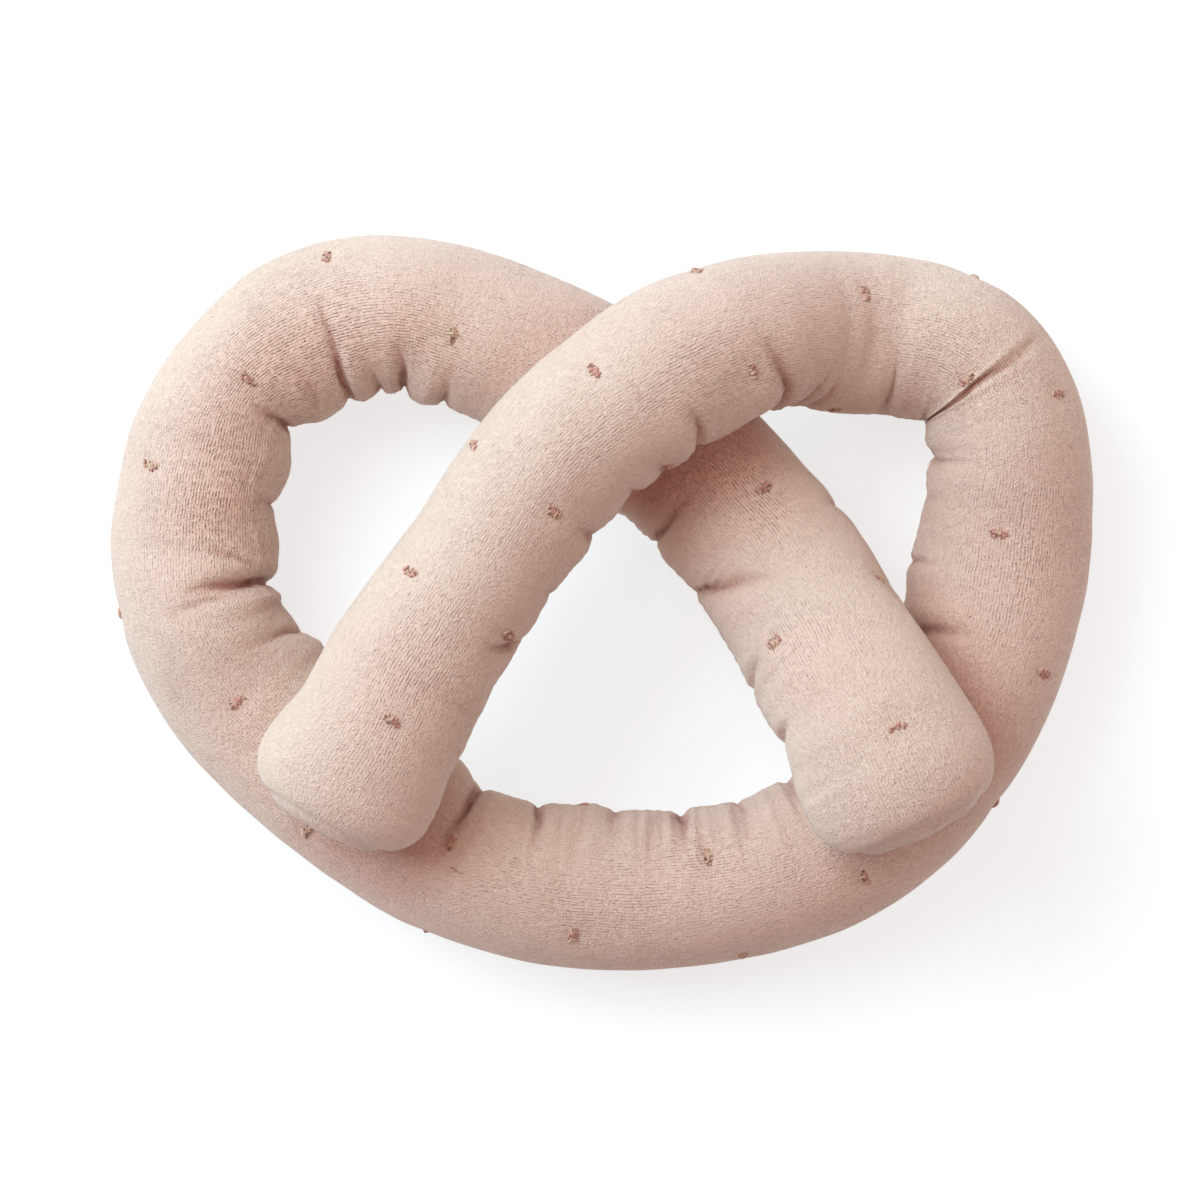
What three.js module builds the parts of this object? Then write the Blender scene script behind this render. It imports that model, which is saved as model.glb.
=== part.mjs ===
// Pretzel cushion: one long stuffed tube of soft knit, closed at both ends and laid in the loops of a pretzel.
// Millimetres, +Z up. The origin lies on the surface under the middle of the cushion, +X runs along its length,
// and the open side of the heart, where the two upper loops meet, points to +Y.
import * as THREE from "three";

// Driving dimensions
const TUBE_RADIUS = 35.5; // radius of the filled tube where nothing presses on it
const TALLEST_HALF = 36; // most that half the tube's height reaches where its sides are drawn in
const SINK = 1.5; // how far the round underside is pressed flat against the surface
const PRESS_GAP = 1; // air left between two lengths of the tube that press on each other
const END_LENGTH = 34; // length over which each end of the tube rounds off and closes
const END_SQUARENESS = 2.6; // 2 is an elliptical end, more is squarer

// Mesh fineness
const AROUND = 24; // corners of a section, one of them exactly underneath
const LONGEST_STEP = 11.5; // most that two sections lie apart
const SHORTEST_STEP = 3; // least that two sections lie apart
const DEEP_FOLD = 5; // from this depth on a fold has two more sections
const END_STEPS = 7; // sections over each rounded end
const PATH_STEPS = 24; // straight pieces between two rows of the route, for its length

// The tube's course from its lower left end, over the middle crossing, round the right, bottom and left loops, under
// that crossing and up to its lower right end. x and y place its middle, half is half its width, and lift is how far
// its underside is held above the surface by what it lies on.
const ROUTE = [
  { x: -126.4, y: -102.3, half: 43.0, lift: 61 },
  { x: -114.4, y: -80.3, half: 42.6, lift: 61 },
  { x: -99.9, y: -56.3, half: 38.6, lift: 60 },
  { x: -85.4, y: -27.8, half: 37.3, lift: 58 },
  { x: -70.4, y: -4.8, half: 35.8, lift: 54 },
  { x: -54.9, y: 17.7, half: 34.7, lift: 52 },
  { x: -36.9, y: 43.7, half: 35.5, lift: 54 },
  { x: -17.9, y: 67.7, half: 35.8, lift: 57 },
  { x: 6.6, y: 88.2, half: 36.6, lift: 59 },
  { x: 27.6, y: 103.2, half: 37.4, lift: 56 },
  { x: 43.1, y: 111.2, half: 37.2, lift: 51 },
  { x: 58.6, y: 117.7, half: 35.7, lift: 42 },
  { x: 73.6, y: 122.4, half: 34.9, lift: 29 },
  { x: 90.6, y: 125.3, half: 34.4, lift: 14 },
  { x: 110.6, y: 124.9, half: 35.8, lift: 4 },
  { x: 131.6, y: 122.7, half: 36.2, lift: 0 },
  { x: 149.6, y: 119.7, half: 35.6, lift: 0 },
  { x: 164.1, y: 114.2, half: 34.6, lift: 0 },
  { x: 175.6, y: 103.7, half: 34.3, lift: 0 },
  { x: 182.6, y: 90.2, half: 35.2, lift: 0 },
  { x: 186.8, y: 73.7, half: 35.8, lift: 0 },
  { x: 187.2, y: 56.2, half: 37.8, lift: 0 },
  { x: 185, y: 36.7, half: 40.0, lift: 0 },
  { x: 182.1, y: 13.7, half: 40.8, lift: 0 },
  { x: 177.1, y: -10.8, half: 39.9, lift: 0 },
  { x: 165.6, y: -43.8, half: 38.6, lift: 0 },
  { x: 151.1, y: -67.8, half: 38.5, lift: 0 },
  { x: 133.6, y: -89.3, half: 38.3, lift: 0 },
  { x: 117.1, y: -104.3, half: 36.9, lift: 0 },
  { x: 97.6, y: -116.3, half: 35.8, lift: 0 },
  { x: 73.1, y: -124.8, half: 35.3, lift: 0 },
  { x: 39.1, y: -130.5, half: 35.9, lift: 0 },
  { x: 8.1, y: -131.5, half: 36.7, lift: 0 },
  { x: -19.4, y: -129.7, half: 36.6, lift: 0 },
  { x: -47.4, y: -124.3, half: 35.4, lift: 0 },
  { x: -75.9, y: -113.2, half: 36.0, lift: 0 },
  { x: -102.4, y: -94.8, half: 37.9, lift: 0 },
  { x: -130.4, y: -72.3, half: 38.5, lift: 0 },
  { x: -152.4, y: -51.4, half: 38.9, lift: 0 },
  { x: -169.4, y: -31.8, half: 37.7, lift: 0 },
  { x: -180.9, y: -14.3, half: 35.6, lift: 0 },
  { x: -186.7, y: 5.7, half: 35.6, lift: 0 },
  { x: -187.2, y: 26.7, half: 37.8, lift: 0 },
  { x: -185.4, y: 48.7, half: 36.3, lift: 0 },
  { x: -179.4, y: 73.7, half: 36.2, lift: 0 },
  { x: -172.4, y: 91.7, half: 33.2, lift: 0 },
  { x: -162.9, y: 105.2, half: 32.4, lift: 0 },
  { x: -144.4, y: 118.7, half: 36.5, lift: 0 },
  { x: -125.7, y: 127.2, half: 37.3, lift: 0 },
  { x: -109.4, y: 131.7, half: 36.3, lift: 0 },
  { x: -89.4, y: 132.7, half: 34.7, lift: 0 },
  { x: -67.4, y: 127.4, half: 36.2, lift: 0 },
  { x: -41.4, y: 117.2, half: 36.9, lift: 0 },
  { x: -15.4, y: 105.2, half: 37.6, lift: 0 },
  { x: 15.1, y: 83.7, half: 39.0, lift: 0 },
  { x: 46.1, y: 58.7, half: 37.4, lift: 0 },
  { x: 63.1, y: 39.2, half: 37.8, lift: 5 },
  { x: 74.8, y: 25, half: 38.2, lift: 11 },
  { x: 86.6, y: 7.2, half: 38.8, lift: 21 },
  { x: 98.6, y: -13.8, half: 38.9, lift: 33 },
  { x: 109, y: -32.3, half: 40.0, lift: 45 },
  { x: 119.4, y: -50.3, half: 41.2, lift: 54 },
  { x: 128.1, y: -68.8, half: 43.7, lift: 60 },
  { x: 145, y: -104.5, half: 44.2, lift: 62 },
];

// The main folds across the tube, most of them on the inside of its bends. at is the place along the tube's middle,
// angle the place around it (0 is its left side as it runs, 90 on top, 180 its right side, 270 underneath), reach how
// far round the fold fades out to each side, and width how far along the tube it does. lean is how far the fold runs
// forward along the tube for each degree round it.
const FOLDS = [
  { at: 113, angle: 168, reach: 40, depth: 4.0, width: 9, lean: 0 },
  { at: 180, angle: 172, reach: 40, depth: 4.0, width: 9, lean: 0 },
  { at: 255, angle: 160, reach: 48, depth: 5.5, width: 8, lean: 0 },
  { at: 302, angle: 145, reach: 62, depth: 5.0, width: 8, lean: 0.2 },
  { at: 326, angle: 176, reach: 50, depth: 4.5, width: 7, lean: 0 },
  { at: 387, angle: 150, reach: 55, depth: 2.5, width: 8, lean: 0 },
  { at: 433, angle: 128, reach: 108, depth: 11.0, width: 11, lean: 0 },
  { at: 473, angle: 175, reach: 55, depth: 3.5, width: 10, lean: 0 },
  { at: 528, angle: 178, reach: 45, depth: 3.0, width: 9, lean: 0 },
  { at: 566, angle: 155, reach: 70, depth: 7.0, width: 9, lean: 0.15 },
  { at: 621, angle: 178, reach: 60, depth: 5.0, width: 10, lean: 0 },
  { at: 657, angle: 178, reach: 60, depth: 5.0, width: 10, lean: 0 },
  { at: 683, angle: 165, reach: 62, depth: 5.5, width: 9, lean: 0 },
  { at: 716, angle: 168, reach: 65, depth: 5.5, width: 10, lean: 0 },
  { at: 749, angle: 172, reach: 55, depth: 7.0, width: 9, lean: 0 },
  { at: 783, angle: 176, reach: 42, depth: 3.5, width: 8, lean: 0 },
  { at: 824, angle: 172, reach: 62, depth: 8.0, width: 9, lean: 0 },
  { at: 862, angle: 155, reach: 75, depth: 10.0, width: 10, lean: 0 },
  { at: 912, angle: 178, reach: 60, depth: 4.0, width: 10, lean: 0 },
  { at: 989, angle: 160, reach: 62, depth: 3.5, width: 12, lean: -0.2 },
  { at: 1031, angle: 155, reach: 72, depth: 11.0, width: 10, lean: 0 },
  { at: 1082, angle: 182, reach: 55, depth: 4.5, width: 14, lean: 0 },
  { at: 1128, angle: 180, reach: 70, depth: 8.0, width: 9, lean: 0 },
  { at: 1181, angle: 172, reach: 105, depth: 10.0, width: 10, lean: -0.05 },
  { at: 1204, angle: 176, reach: 52, depth: 6.0, width: 7, lean: 0 },
  { at: 1223, angle: 154, reach: 60, depth: 9.0, width: 8, lean: 0.3 },
  { at: 1247, angle: 176, reach: 58, depth: 4.5, width: 9, lean: 0.2 },
  { at: 1299, angle: 180, reach: 60, depth: 4.0, width: 10, lean: 0 },
  { at: 1385, angle: 155, reach: 58, depth: 5.0, width: 9, lean: 0 },
  { at: 1429, angle: 150, reach: 65, depth: 5.0, width: 12, lean: -0.4 },
  { at: 1478, angle: 172, reach: 40, depth: 3.0, width: 9, lean: 0 },
];

// Where one length of the tube lies on another: places along its middle, from and to, of each.
const CROSSINGS = [
  { over: [120, 340], under: [1240, 1450] },
  { over: [0, 115], under: [835, 1020] },
  { over: [1440, 1600], under: [505, 730] },
];

const KNIT = { color: 0xdcc6b8, roughness: 0.95, metalness: 0 };

const halfHeight = (half) => Math.min(TALLEST_HALF, TUBE_RADIUS ** 2 / half);

// The route as knots of one smooth curve: middle of the section and half width, by distance along the chords.
const KNOTS = ROUTE.map(({ x, y, half, lift }) => [
  x,
  y,
  halfHeight(half) - SINK + lift,
  half,
]);

function chordDistances(knots) {
  const at = [0];
  for (let i = 1; i < knots.length; i++) {
    const [a, b] = [knots[i - 1], knots[i]];
    at.push(at[i - 1] + Math.hypot(b[0] - a[0], b[1] - a[1], b[2] - a[2]));
  }
  return at;
}

// Slopes of a Catmull-Rom curve whose knots are unevenly spaced.
function knotSlopes(at, knots) {
  const rise = knots
    .slice(1)
    .map((knot, i) => knot.map((v, k) => (v - knots[i][k]) / (at[i + 1] - at[i])));
  return knots.map((knot, i) => {
    if (i === 0) return rise[0];
    if (i === knots.length - 1) return rise[i - 1];
    const before = at[i] - at[i - 1];
    const after = at[i + 1] - at[i];
    return knot.map(
      (_, k) => (rise[i - 1][k] * after + rise[i][k] * before) / (before + after),
    );
  });
}

const KNOT_AT = chordDistances(KNOTS);
const KNOT_SLOPE = knotSlopes(KNOT_AT, KNOTS);

// The curve's values at a distance along the chords, by cubic Hermite pieces.
function alongChords(u) {
  let i = 0;
  while (i < KNOTS.length - 2 && u >= KNOT_AT[i + 1]) i++;
  const span = KNOT_AT[i + 1] - KNOT_AT[i];
  const t = (u - KNOT_AT[i]) / span;
  const weights = [
    (1 + 2 * t) * (1 - t) ** 2,
    t * (1 - t) ** 2 * span,
    t * t * (3 - 2 * t),
    t * t * (t - 1) * span,
  ];
  return KNOTS[i].map(
    (v, k) =>
      weights[0] * v +
      weights[1] * KNOT_SLOPE[i][k] +
      weights[2] * KNOTS[i + 1][k] +
      weights[3] * KNOT_SLOPE[i + 1][k],
  );
}

// Distance along the tube's middle against distance along the chords.
function measurePath() {
  const table = [{ u: 0, s: 0 }];
  let last = alongChords(0);
  for (let i = 1; i < KNOTS.length; i++) {
    for (let step = 1; step <= PATH_STEPS; step++) {
      const u = KNOT_AT[i - 1] + ((KNOT_AT[i] - KNOT_AT[i - 1]) * step) / PATH_STEPS;
      const here = alongChords(u);
      const length = Math.hypot(here[0] - last[0], here[1] - last[1], here[2] - last[2]);
      table.push({ u, s: table[table.length - 1].s + length });
      last = here;
    }
  }
  return table;
}

const PATH = measurePath();
const LENGTH = PATH[PATH.length - 1].s;

// Share of its full width or height that the tube has at a distance from its tip.
function endShare(s) {
  const fromTip = Math.max(0, Math.min(s, LENGTH - s, END_LENGTH));
  const left = 1 - fromTip / END_LENGTH;
  return (1 - left ** END_SQUARENESS) ** (1 / END_SQUARENESS);
}

// Middle, directions and half sizes of the section at a distance along the tube. plumb is half its height as
// measured straight down, which is more than tall where the tube slopes.
function sectionAt(s) {
  let i = 1;
  while (i < PATH.length - 1 && PATH[i].s < s) i++;
  const [a, b] = [PATH[i - 1], PATH[i]];
  const u = a.u + ((b.u - a.u) * (s - a.s)) / (b.s - a.s);
  const [x, y, z, half] = alongChords(u);
  const ahead = alongChords(Math.min(u + 0.5, PATH[PATH.length - 1].u));
  const behind = alongChords(Math.max(u - 0.5, 0));
  const forward = new THREE.Vector3(
    ahead[0] - behind[0],
    ahead[1] - behind[1],
    ahead[2] - behind[2],
  ).normalize();
  const left = new THREE.Vector3(-forward.y, forward.x, 0).normalize();
  const up = new THREE.Vector3().crossVectors(forward, left);
  const share = endShare(s);
  return {
    s,
    middle: new THREE.Vector3(x, y, z),
    left,
    up,
    wide: half * share,
    tall: halfHeight(half) * share,
    plumb: (halfHeight(half) * share) / Math.sqrt(1 - forward.z ** 2),
  };
}

// How deep the folds press the knit in at a place along and around the tube. A fold is a sharp valley between two
// rounded swellings: its sides fall as the square of the distance to where it fades out.
function foldDepth(s, angle) {
  let depth = 0;
  for (const fold of FOLDS) {
    const turn = ((angle - fold.angle + 540) % 360) - 180;
    const away = Math.abs(s - fold.at - fold.lean * turn) / fold.width;
    if (Math.abs(turn) >= fold.reach || away >= 1) continue;
    const fade = Math.cos(((Math.PI / 2) * turn) / fold.reach) ** 2;
    depth = Math.max(depth, fold.depth * fade * (1 - away) ** 2);
  }
  return depth;
}

// Sections close together through each fold and over the ends, and further apart between them.
function sectionPlaces() {
  const endPlaces = [];
  for (let i = 1; i <= END_STEPS; i++) {
    const fromTip = END_LENGTH * (1 - Math.cos(((Math.PI / 2) * i) / END_STEPS));
    endPlaces.push(fromTip, LENGTH - fromTip);
  }
  const places = [...endPlaces];
  const add = (s) => {
    if (s < END_LENGTH || s > LENGTH - END_LENGTH) return;
    if (places.every((p) => Math.abs(p - s) >= SHORTEST_STEP)) places.push(s);
  };
  for (const share of [0, -1, 1, -0.4, 0.4]) {
    for (const fold of FOLDS) {
      const deep = fold.depth >= DEEP_FOLD;
      if (deep || Math.abs(share) !== 0.4) add(fold.at + share * fold.width);
    }
  }
  places.sort((a, b) => a - b);
  const filled = [];
  places.forEach((s, i) => {
    if (i > 0) {
      const from = places[i - 1];
      const parts = Math.ceil((s - from) / LONGEST_STEP);
      for (let k = 1; k < parts; k++) filled.push(from + ((s - from) * k) / parts);
    }
    filled.push(s);
  });
  return filled;
}

// The round surface of one length of the tube as seen from above: its top or its underside at a point, or null
// beside it. side is 1 for the top and -1 for the underside.
function surfaceOver(sections, x, y, side) {
  let nearest = null;
  for (const section of sections) {
    const away = Math.hypot(x - section.middle.x, y - section.middle.y);
    if (!nearest || away < nearest.away) nearest = { section, away };
  }
  const { section } = nearest;
  const across = (x - section.middle.x) * section.left.x + (y - section.middle.y) * section.left.y;
  const along = Math.abs(
    (x - section.middle.x) * -section.left.y + (y - section.middle.y) * section.left.x,
  );
  if (along > LONGEST_STEP || Math.abs(across) >= section.wide) return null;
  const rise = Math.sqrt(1 - (across / section.wide) ** 2);
  return section.middle.z + side * section.plumb * rise;
}

// Two lengths that would run through each other meet halfway, the lower one pressed down and the upper one pressed
// up, with the gap between them.
function pressApart(point, s, lengths) {
  for (const { over, under, overSections, underSections } of lengths) {
    if (s >= under[0] && s <= under[1]) {
      const z = surfaceOver(overSections, point.x, point.y, -1);
      if (z !== null && z < point.z + PRESS_GAP) point.z -= (point.z + PRESS_GAP - z) / 2;
    }
    if (s >= over[0] && s <= over[1]) {
      const z = surfaceOver(underSections, point.x, point.y, 1);
      if (z !== null && z > point.z - PRESS_GAP) point.z += (z + PRESS_GAP - point.z) / 2;
    }
  }
}

function stuffedTube() {
  const sections = sectionPlaces().map(sectionAt);
  const fine = (range) => {
    const list = [];
    for (let s = range[0]; s <= Math.min(range[1], LENGTH); s += 3) list.push(sectionAt(s));
    return list;
  };
  const lengths = CROSSINGS.map((crossing) => ({
    ...crossing,
    overSections: fine(crossing.over),
    underSections: fine(crossing.under),
  }));

  const corners = [];
  const addCorner = (point, s) => {
    pressApart(point, s, lengths);
    corners.push(point.x, point.y, Math.max(0, point.z));
  };
  addCorner(sectionAt(0).middle.clone(), 0);
  for (const section of sections) {
    for (let k = 0; k < AROUND; k++) {
      const angle = (360 * k) / AROUND;
      const turn = THREE.MathUtils.degToRad(angle);
      const depth = foldDepth(section.s, angle);
      const point = section.middle
        .clone()
        .addScaledVector(section.left, (section.wide - depth) * Math.cos(turn))
        .addScaledVector(section.up, (section.tall - depth) * Math.sin(turn));
      addCorner(point, section.s);
    }
  }
  addCorner(sectionAt(LENGTH).middle.clone(), LENGTH);

  const faces = [];
  const corner = (ring, k) => 1 + ring * AROUND + (k % AROUND);
  const last = sections.length - 1;
  for (let k = 0; k < AROUND; k++) {
    faces.push(0, corner(0, k + 1), corner(0, k));
    faces.push(corner(last, k), corner(last, k + 1), 1 + sections.length * AROUND);
    for (let ring = 0; ring < last; ring++) {
      const [a, b] = [corner(ring, k), corner(ring, k + 1)];
      const [c, d] = [corner(ring + 1, k + 1), corner(ring + 1, k)];
      faces.push(a, b, c, a, c, d);
    }
  }
  const geometry = new THREE.BufferGeometry();
  geometry.setAttribute("position", new THREE.Float32BufferAttribute(corners, 3));
  geometry.setIndex(faces);
  geometry.computeVertexNormals();
  return geometry;
}

const cushion = new THREE.Group();
const tube = new THREE.Mesh(stuffedTube(), new THREE.MeshStandardMaterial(KNIT));
tube.name = "stuffed_tube";
cushion.add(tube);

export default cushion;
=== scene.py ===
"""Pretzel cushion: one long stuffed tube of fine rib knit, laid in the loops of a pretzel.

Driving sizes are in millimetres, as in the solid part, and Blender works in metres. The
origin lies on the surface under the middle of the cushion, +X runs along its length and
+Z points up.
"""

import logging
from dataclasses import dataclass, field
from typing import NamedTuple

import bpy
import numpy as np
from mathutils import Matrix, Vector


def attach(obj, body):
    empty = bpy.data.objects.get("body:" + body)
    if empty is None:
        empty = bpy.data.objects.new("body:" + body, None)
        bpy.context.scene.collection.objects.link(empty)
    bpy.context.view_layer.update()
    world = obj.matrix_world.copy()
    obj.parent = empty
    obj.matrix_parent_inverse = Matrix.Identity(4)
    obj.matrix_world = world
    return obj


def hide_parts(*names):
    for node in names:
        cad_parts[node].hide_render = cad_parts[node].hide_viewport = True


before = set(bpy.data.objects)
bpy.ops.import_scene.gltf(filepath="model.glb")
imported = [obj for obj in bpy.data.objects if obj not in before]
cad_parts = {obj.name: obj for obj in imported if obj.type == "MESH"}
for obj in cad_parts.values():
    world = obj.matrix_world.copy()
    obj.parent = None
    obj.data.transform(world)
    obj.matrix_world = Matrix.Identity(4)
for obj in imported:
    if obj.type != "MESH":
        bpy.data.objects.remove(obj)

log = logging.getLogger("pretzel_cushion")

Color = tuple[float, float, float, float]

MM = 0.001  # one millimetre in Blender's metres

# Driving dimensions, all but the last the same as the solid's
TUBE_RADIUS = 35.5  # radius of the filled tube where nothing presses on it
TALLEST_HALF = 36.0  # most that half the tube's height reaches where its sides draw in
SINK = 1.5  # how far the round underside is pressed flat against the surface
END_LENGTH = 34.0  # length over which each end of the tube rounds off and closes
END_SQUARENESS = 2.6  # 2 is an elliptical end, more is squarer
PRESS_GAP = 0.7  # air left between two lengths that press on each other, 1 in the solid

# Folds: parts of a fold's depth, and distances in widths of the fold
VALLEY_SHARE = 0.6  # depth of the open valley
SWELL_SHARE = 0.14  # height of the swelling beside it
SWELL_AT = 1.25  # distance of that swelling from the valley's line
SWELL_SPREAD = 0.5  # distance over which it fades to each side
MOST_SWELL = 2.0  # most that swellings raise the knit together, in millimetres

# Knit and thread
WALES_AROUND = 160  # ribs of the knit round the whole tube
STITCH = 1.45  # length of one stitch along a rib
RIB_ROUNDNESS = 2.2  # power by which a rib's sides fall, 2 is round
STITCH_SLANT = 0.55  # how far a stitch's sides run on along the rib, in stitches
STITCH_LOW = 0.72  # height of the rib between two stitches, against 1 on them
FELT_HEIGHT = 0.8  # even height of the knit where wear has felted it
SEAM_ANGLE = 188.0  # usual place round the tube of its long seam


class Row(NamedTuple):
    """One row of the route: middle of the tube, half its width and the lift of its underside."""

    x: float
    y: float
    half: float
    lift: float = 0.0


# From the lower left end over the middle crossing, round the right, bottom and left
# loops, under that crossing and up to the lower right end.
ROUTE = (
    Row(-126.4, -102.3, 43.0, 61),
    Row(-114.4, -80.3, 42.6, 61),
    Row(-99.9, -56.3, 38.6, 60),
    Row(-85.4, -27.8, 37.3, 58),
    Row(-70.4, -4.8, 35.8, 54),
    Row(-54.9, 17.7, 34.7, 52),
    Row(-36.9, 43.7, 35.5, 54),
    Row(-17.9, 67.7, 35.8, 57),
    Row(6.6, 88.2, 36.6, 59),
    Row(27.6, 103.2, 37.4, 56),
    Row(43.1, 111.2, 37.2, 51),
    Row(58.6, 117.7, 35.7, 42),
    Row(73.6, 122.4, 34.9, 29),
    Row(90.6, 125.3, 34.4, 14),
    Row(110.6, 124.9, 35.8, 4),
    Row(131.6, 122.7, 36.2),
    Row(149.6, 119.7, 35.6),
    Row(164.1, 114.2, 34.6),
    Row(175.6, 103.7, 34.3),
    Row(182.6, 90.2, 35.2),
    Row(186.8, 73.7, 35.8),
    Row(187.2, 56.2, 37.8),
    Row(185.0, 36.7, 40.0),
    Row(182.1, 13.7, 40.8),
    Row(177.1, -10.8, 39.9),
    Row(165.6, -43.8, 38.6),
    Row(151.1, -67.8, 38.5),
    Row(133.6, -89.3, 38.3),
    Row(117.1, -104.3, 36.9),
    Row(97.6, -116.3, 35.8),
    Row(73.1, -124.8, 35.3),
    Row(39.1, -130.5, 35.9),
    Row(8.1, -131.5, 36.7),
    Row(-19.4, -129.7, 36.6),
    Row(-47.4, -124.3, 35.4),
    Row(-75.9, -113.2, 36.0),
    Row(-102.4, -94.8, 37.9),
    Row(-130.4, -72.3, 38.5),
    Row(-152.4, -51.4, 38.9),
    Row(-169.4, -31.8, 37.7),
    Row(-180.9, -14.3, 35.6),
    Row(-186.7, 5.7, 35.6),
    Row(-187.2, 26.7, 37.8),
    Row(-185.4, 48.7, 36.3),
    Row(-179.4, 73.7, 36.2),
    Row(-172.4, 91.7, 33.2),
    Row(-162.9, 105.2, 32.4),
    Row(-144.4, 118.7, 36.5),
    Row(-125.7, 127.2, 37.3),
    Row(-109.4, 131.7, 36.3),
    Row(-89.4, 132.7, 34.7),
    Row(-67.4, 127.4, 36.2),
    Row(-41.4, 117.2, 36.9),
    Row(-15.4, 105.2, 37.6),
    Row(15.1, 83.7, 39.0),
    Row(46.1, 58.7, 37.4),
    Row(63.1, 39.2, 37.8, 5),
    Row(74.8, 25.0, 38.2, 11),
    Row(86.6, 7.2, 38.8, 21),
    Row(98.6, -13.8, 38.9, 33),
    Row(109.0, -32.3, 40.0, 45),
    Row(119.4, -50.3, 41.2, 54),
    Row(128.1, -68.8, 43.7, 60),
    Row(145.0, -104.5, 44.2, 62),
)


@dataclass(frozen=True)
class Fold:
    """A crease across the tube.

    Args:
        at: place along the tube's middle.
        angle: place round it, in degrees. 0 is its left side as it runs, 90 its top,
            180 its right side and 270 its underside.
        reach: degrees over which it fades out to each side.
        depth: how far it presses the knit in.
        width: distance along the tube over which its sides rise.
        lean: how far it runs forward along the tube for each degree round it.
    """

    at: float
    angle: float
    reach: float
    depth: float
    width: float
    lean: float = 0.0


# The solid's main folds, of which most are placed and shaped more closely here
FOLDS = (
    Fold(117, 166, 40, 5.0, 9, 0.29),
    Fold(180, 172, 40, 3.4, 8),
    Fold(255, 160, 48, 3.4, 8),
    Fold(302, 145, 62, 4.2, 8, 0.2),
    Fold(326, 172, 50, 2.6, 7),
    Fold(387, 150, 55, 2.5, 8),
    Fold(434.5, 125, 115, 6.0, 2.4),
    Fold(473, 172, 55, 2.4, 12),
    Fold(528, 178, 45, 3.0, 9),
    Fold(566, 155, 70, 7.0, 9, 0.15),
    Fold(621, 178, 60, 5.0, 10),
    Fold(657, 178, 60, 5.0, 10),
    Fold(683, 172, 50, 3.4, 8),
    Fold(716, 166, 62, 2.6, 9),
    Fold(748, 168, 58, 5.4, 7.5),
    Fold(783, 170, 42, 2.2, 8),
    Fold(824, 166, 58, 3.6, 7.5),
    Fold(861, 150, 75, 7.5, 10, -0.05),
    Fold(912, 178, 60, 4.0, 10),
    Fold(989, 160, 62, 3.0, 12, -0.2),
    Fold(1031, 150, 72, 10.5, 9),
    Fold(1079, 182, 55, 3.5, 13),
    Fold(1128, 170, 62, 6.0, 8),
    Fold(1181, 150, 92, 5.0, 7, -0.05),
    Fold(1203, 172, 40, 3.2, 5),
    Fold(1223, 164, 60, 3.8, 5.5, 0.1),
    Fold(1249, 174, 42, 3.0, 6.5),
    Fold(1299, 180, 60, 4.0, 10),
    Fold(1385, 155, 58, 5.0, 9),
    Fold(1429, 150, 65, 5.0, 12, -0.4),
    Fold(1478, 172, 40, 2.6, 8),
)

# Shallow folds that only the knit shows
PUCKERS = (
    Fold(147, 178, 30, 2.0, 7),
    Fold(215, 180, 28, 2.0, 6),
    Fold(233, 174, 30, 2.2, 6),
    Fold(343, 166, 34, 1.4, 6, 0.1),
    Fold(497, 174, 32, 1.4, 6),
    Fold(583, 172, 30, 1.6, 6, 0.1),
    Fold(601, 178, 34, 2.0, 7),
    Fold(639, 178, 34, 2.0, 6),
    Fold(764, 140, 40, 1.2, 6, -0.05),
    Fold(801, 136, 40, 1.2, 6, -0.07),
    Fold(893, 176, 30, 1.6, 6),
    Fold(1025, 97, 34, 1.3, 6),
    Fold(1044, 122, 30, 2.4, 6, -0.2),
    Fold(1158, 140, 36, 1.4, 7, -0.1),
    Fold(1425, 2, 30, 1.8, 8),
    Fold(1508, 170, 32, 2.4, 7),
)


class Fullness(NamedTuple):
    """Where the knit stands out over the even tube, or lies within it where negative.

    It fades as the cosine squared over its reach round the tube and as a bell curve over
    its spread along it.
    """

    at: float
    angle: float
    reach: float
    height: float
    spread: float


FULLNESS = (
    Fullness(100, 180, 70, 1.0, 12),
    Fullness(168, 180, 70, 1.6, 10),
    Fullness(362, 172, 80, 2.4, 22),
    Fullness(454, 176, 70, 2.4, 9),
    Fullness(502, 178, 70, -1.4, 24),
    Fullness(700, 178, 70, 2.2, 9),
    Fullness(752, 180, 60, -1.6, 10),
    Fullness(798, 178, 60, 1.6, 8),
    Fullness(882, 172, 80, 3.4, 12),
    Fullness(1015, 168, 70, 2.2, 8),
    Fullness(1050, 172, 80, 1.8, 16),
    Fullness(1104, 172, 80, 3.0, 13),
    Fullness(1154, 170, 80, 3.6, 14),
    Fullness(1192, 172, 60, 1.0, 6),
    Fullness(1213, 172, 60, 1.2, 6),
    Fullness(1238, 172, 70, 2.6, 8),
)


class SeamPoint(NamedTuple):
    """Place of the long seam: along the tube's middle and, in degrees, round it."""

    at: float
    angle: float


# The seam twists up on to the inner side of the left loop
SEAM = (
    SeamPoint(940, SEAM_ANGLE),
    SeamPoint(1040, 150),
    SeamPoint(1095, 140),
    SeamPoint(1150, 152),
    SeamPoint(1250, SEAM_ANGLE),
)


class Gather(NamedTuple):
    """How strongly the knit gathers into flutes at a place along the tube."""

    at: float
    share: float


# The bottom of the loop and the last strand gather most
GATHERED = (
    Gather(560, 0.4), Gather(640, 1.0), Gather(860, 1.0),
    Gather(900, 0.4), Gather(1320, 0.4), Gather(1350, 1.0),
)


class RibPatch(NamedTuple):
    """Where the ribs stand out clearly and painted warm bounce light lifts the colour: its
    middle, and how far it spreads along and round.
    """

    at: float
    angle: float
    along: float
    round_it: float
    strength: float


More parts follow.
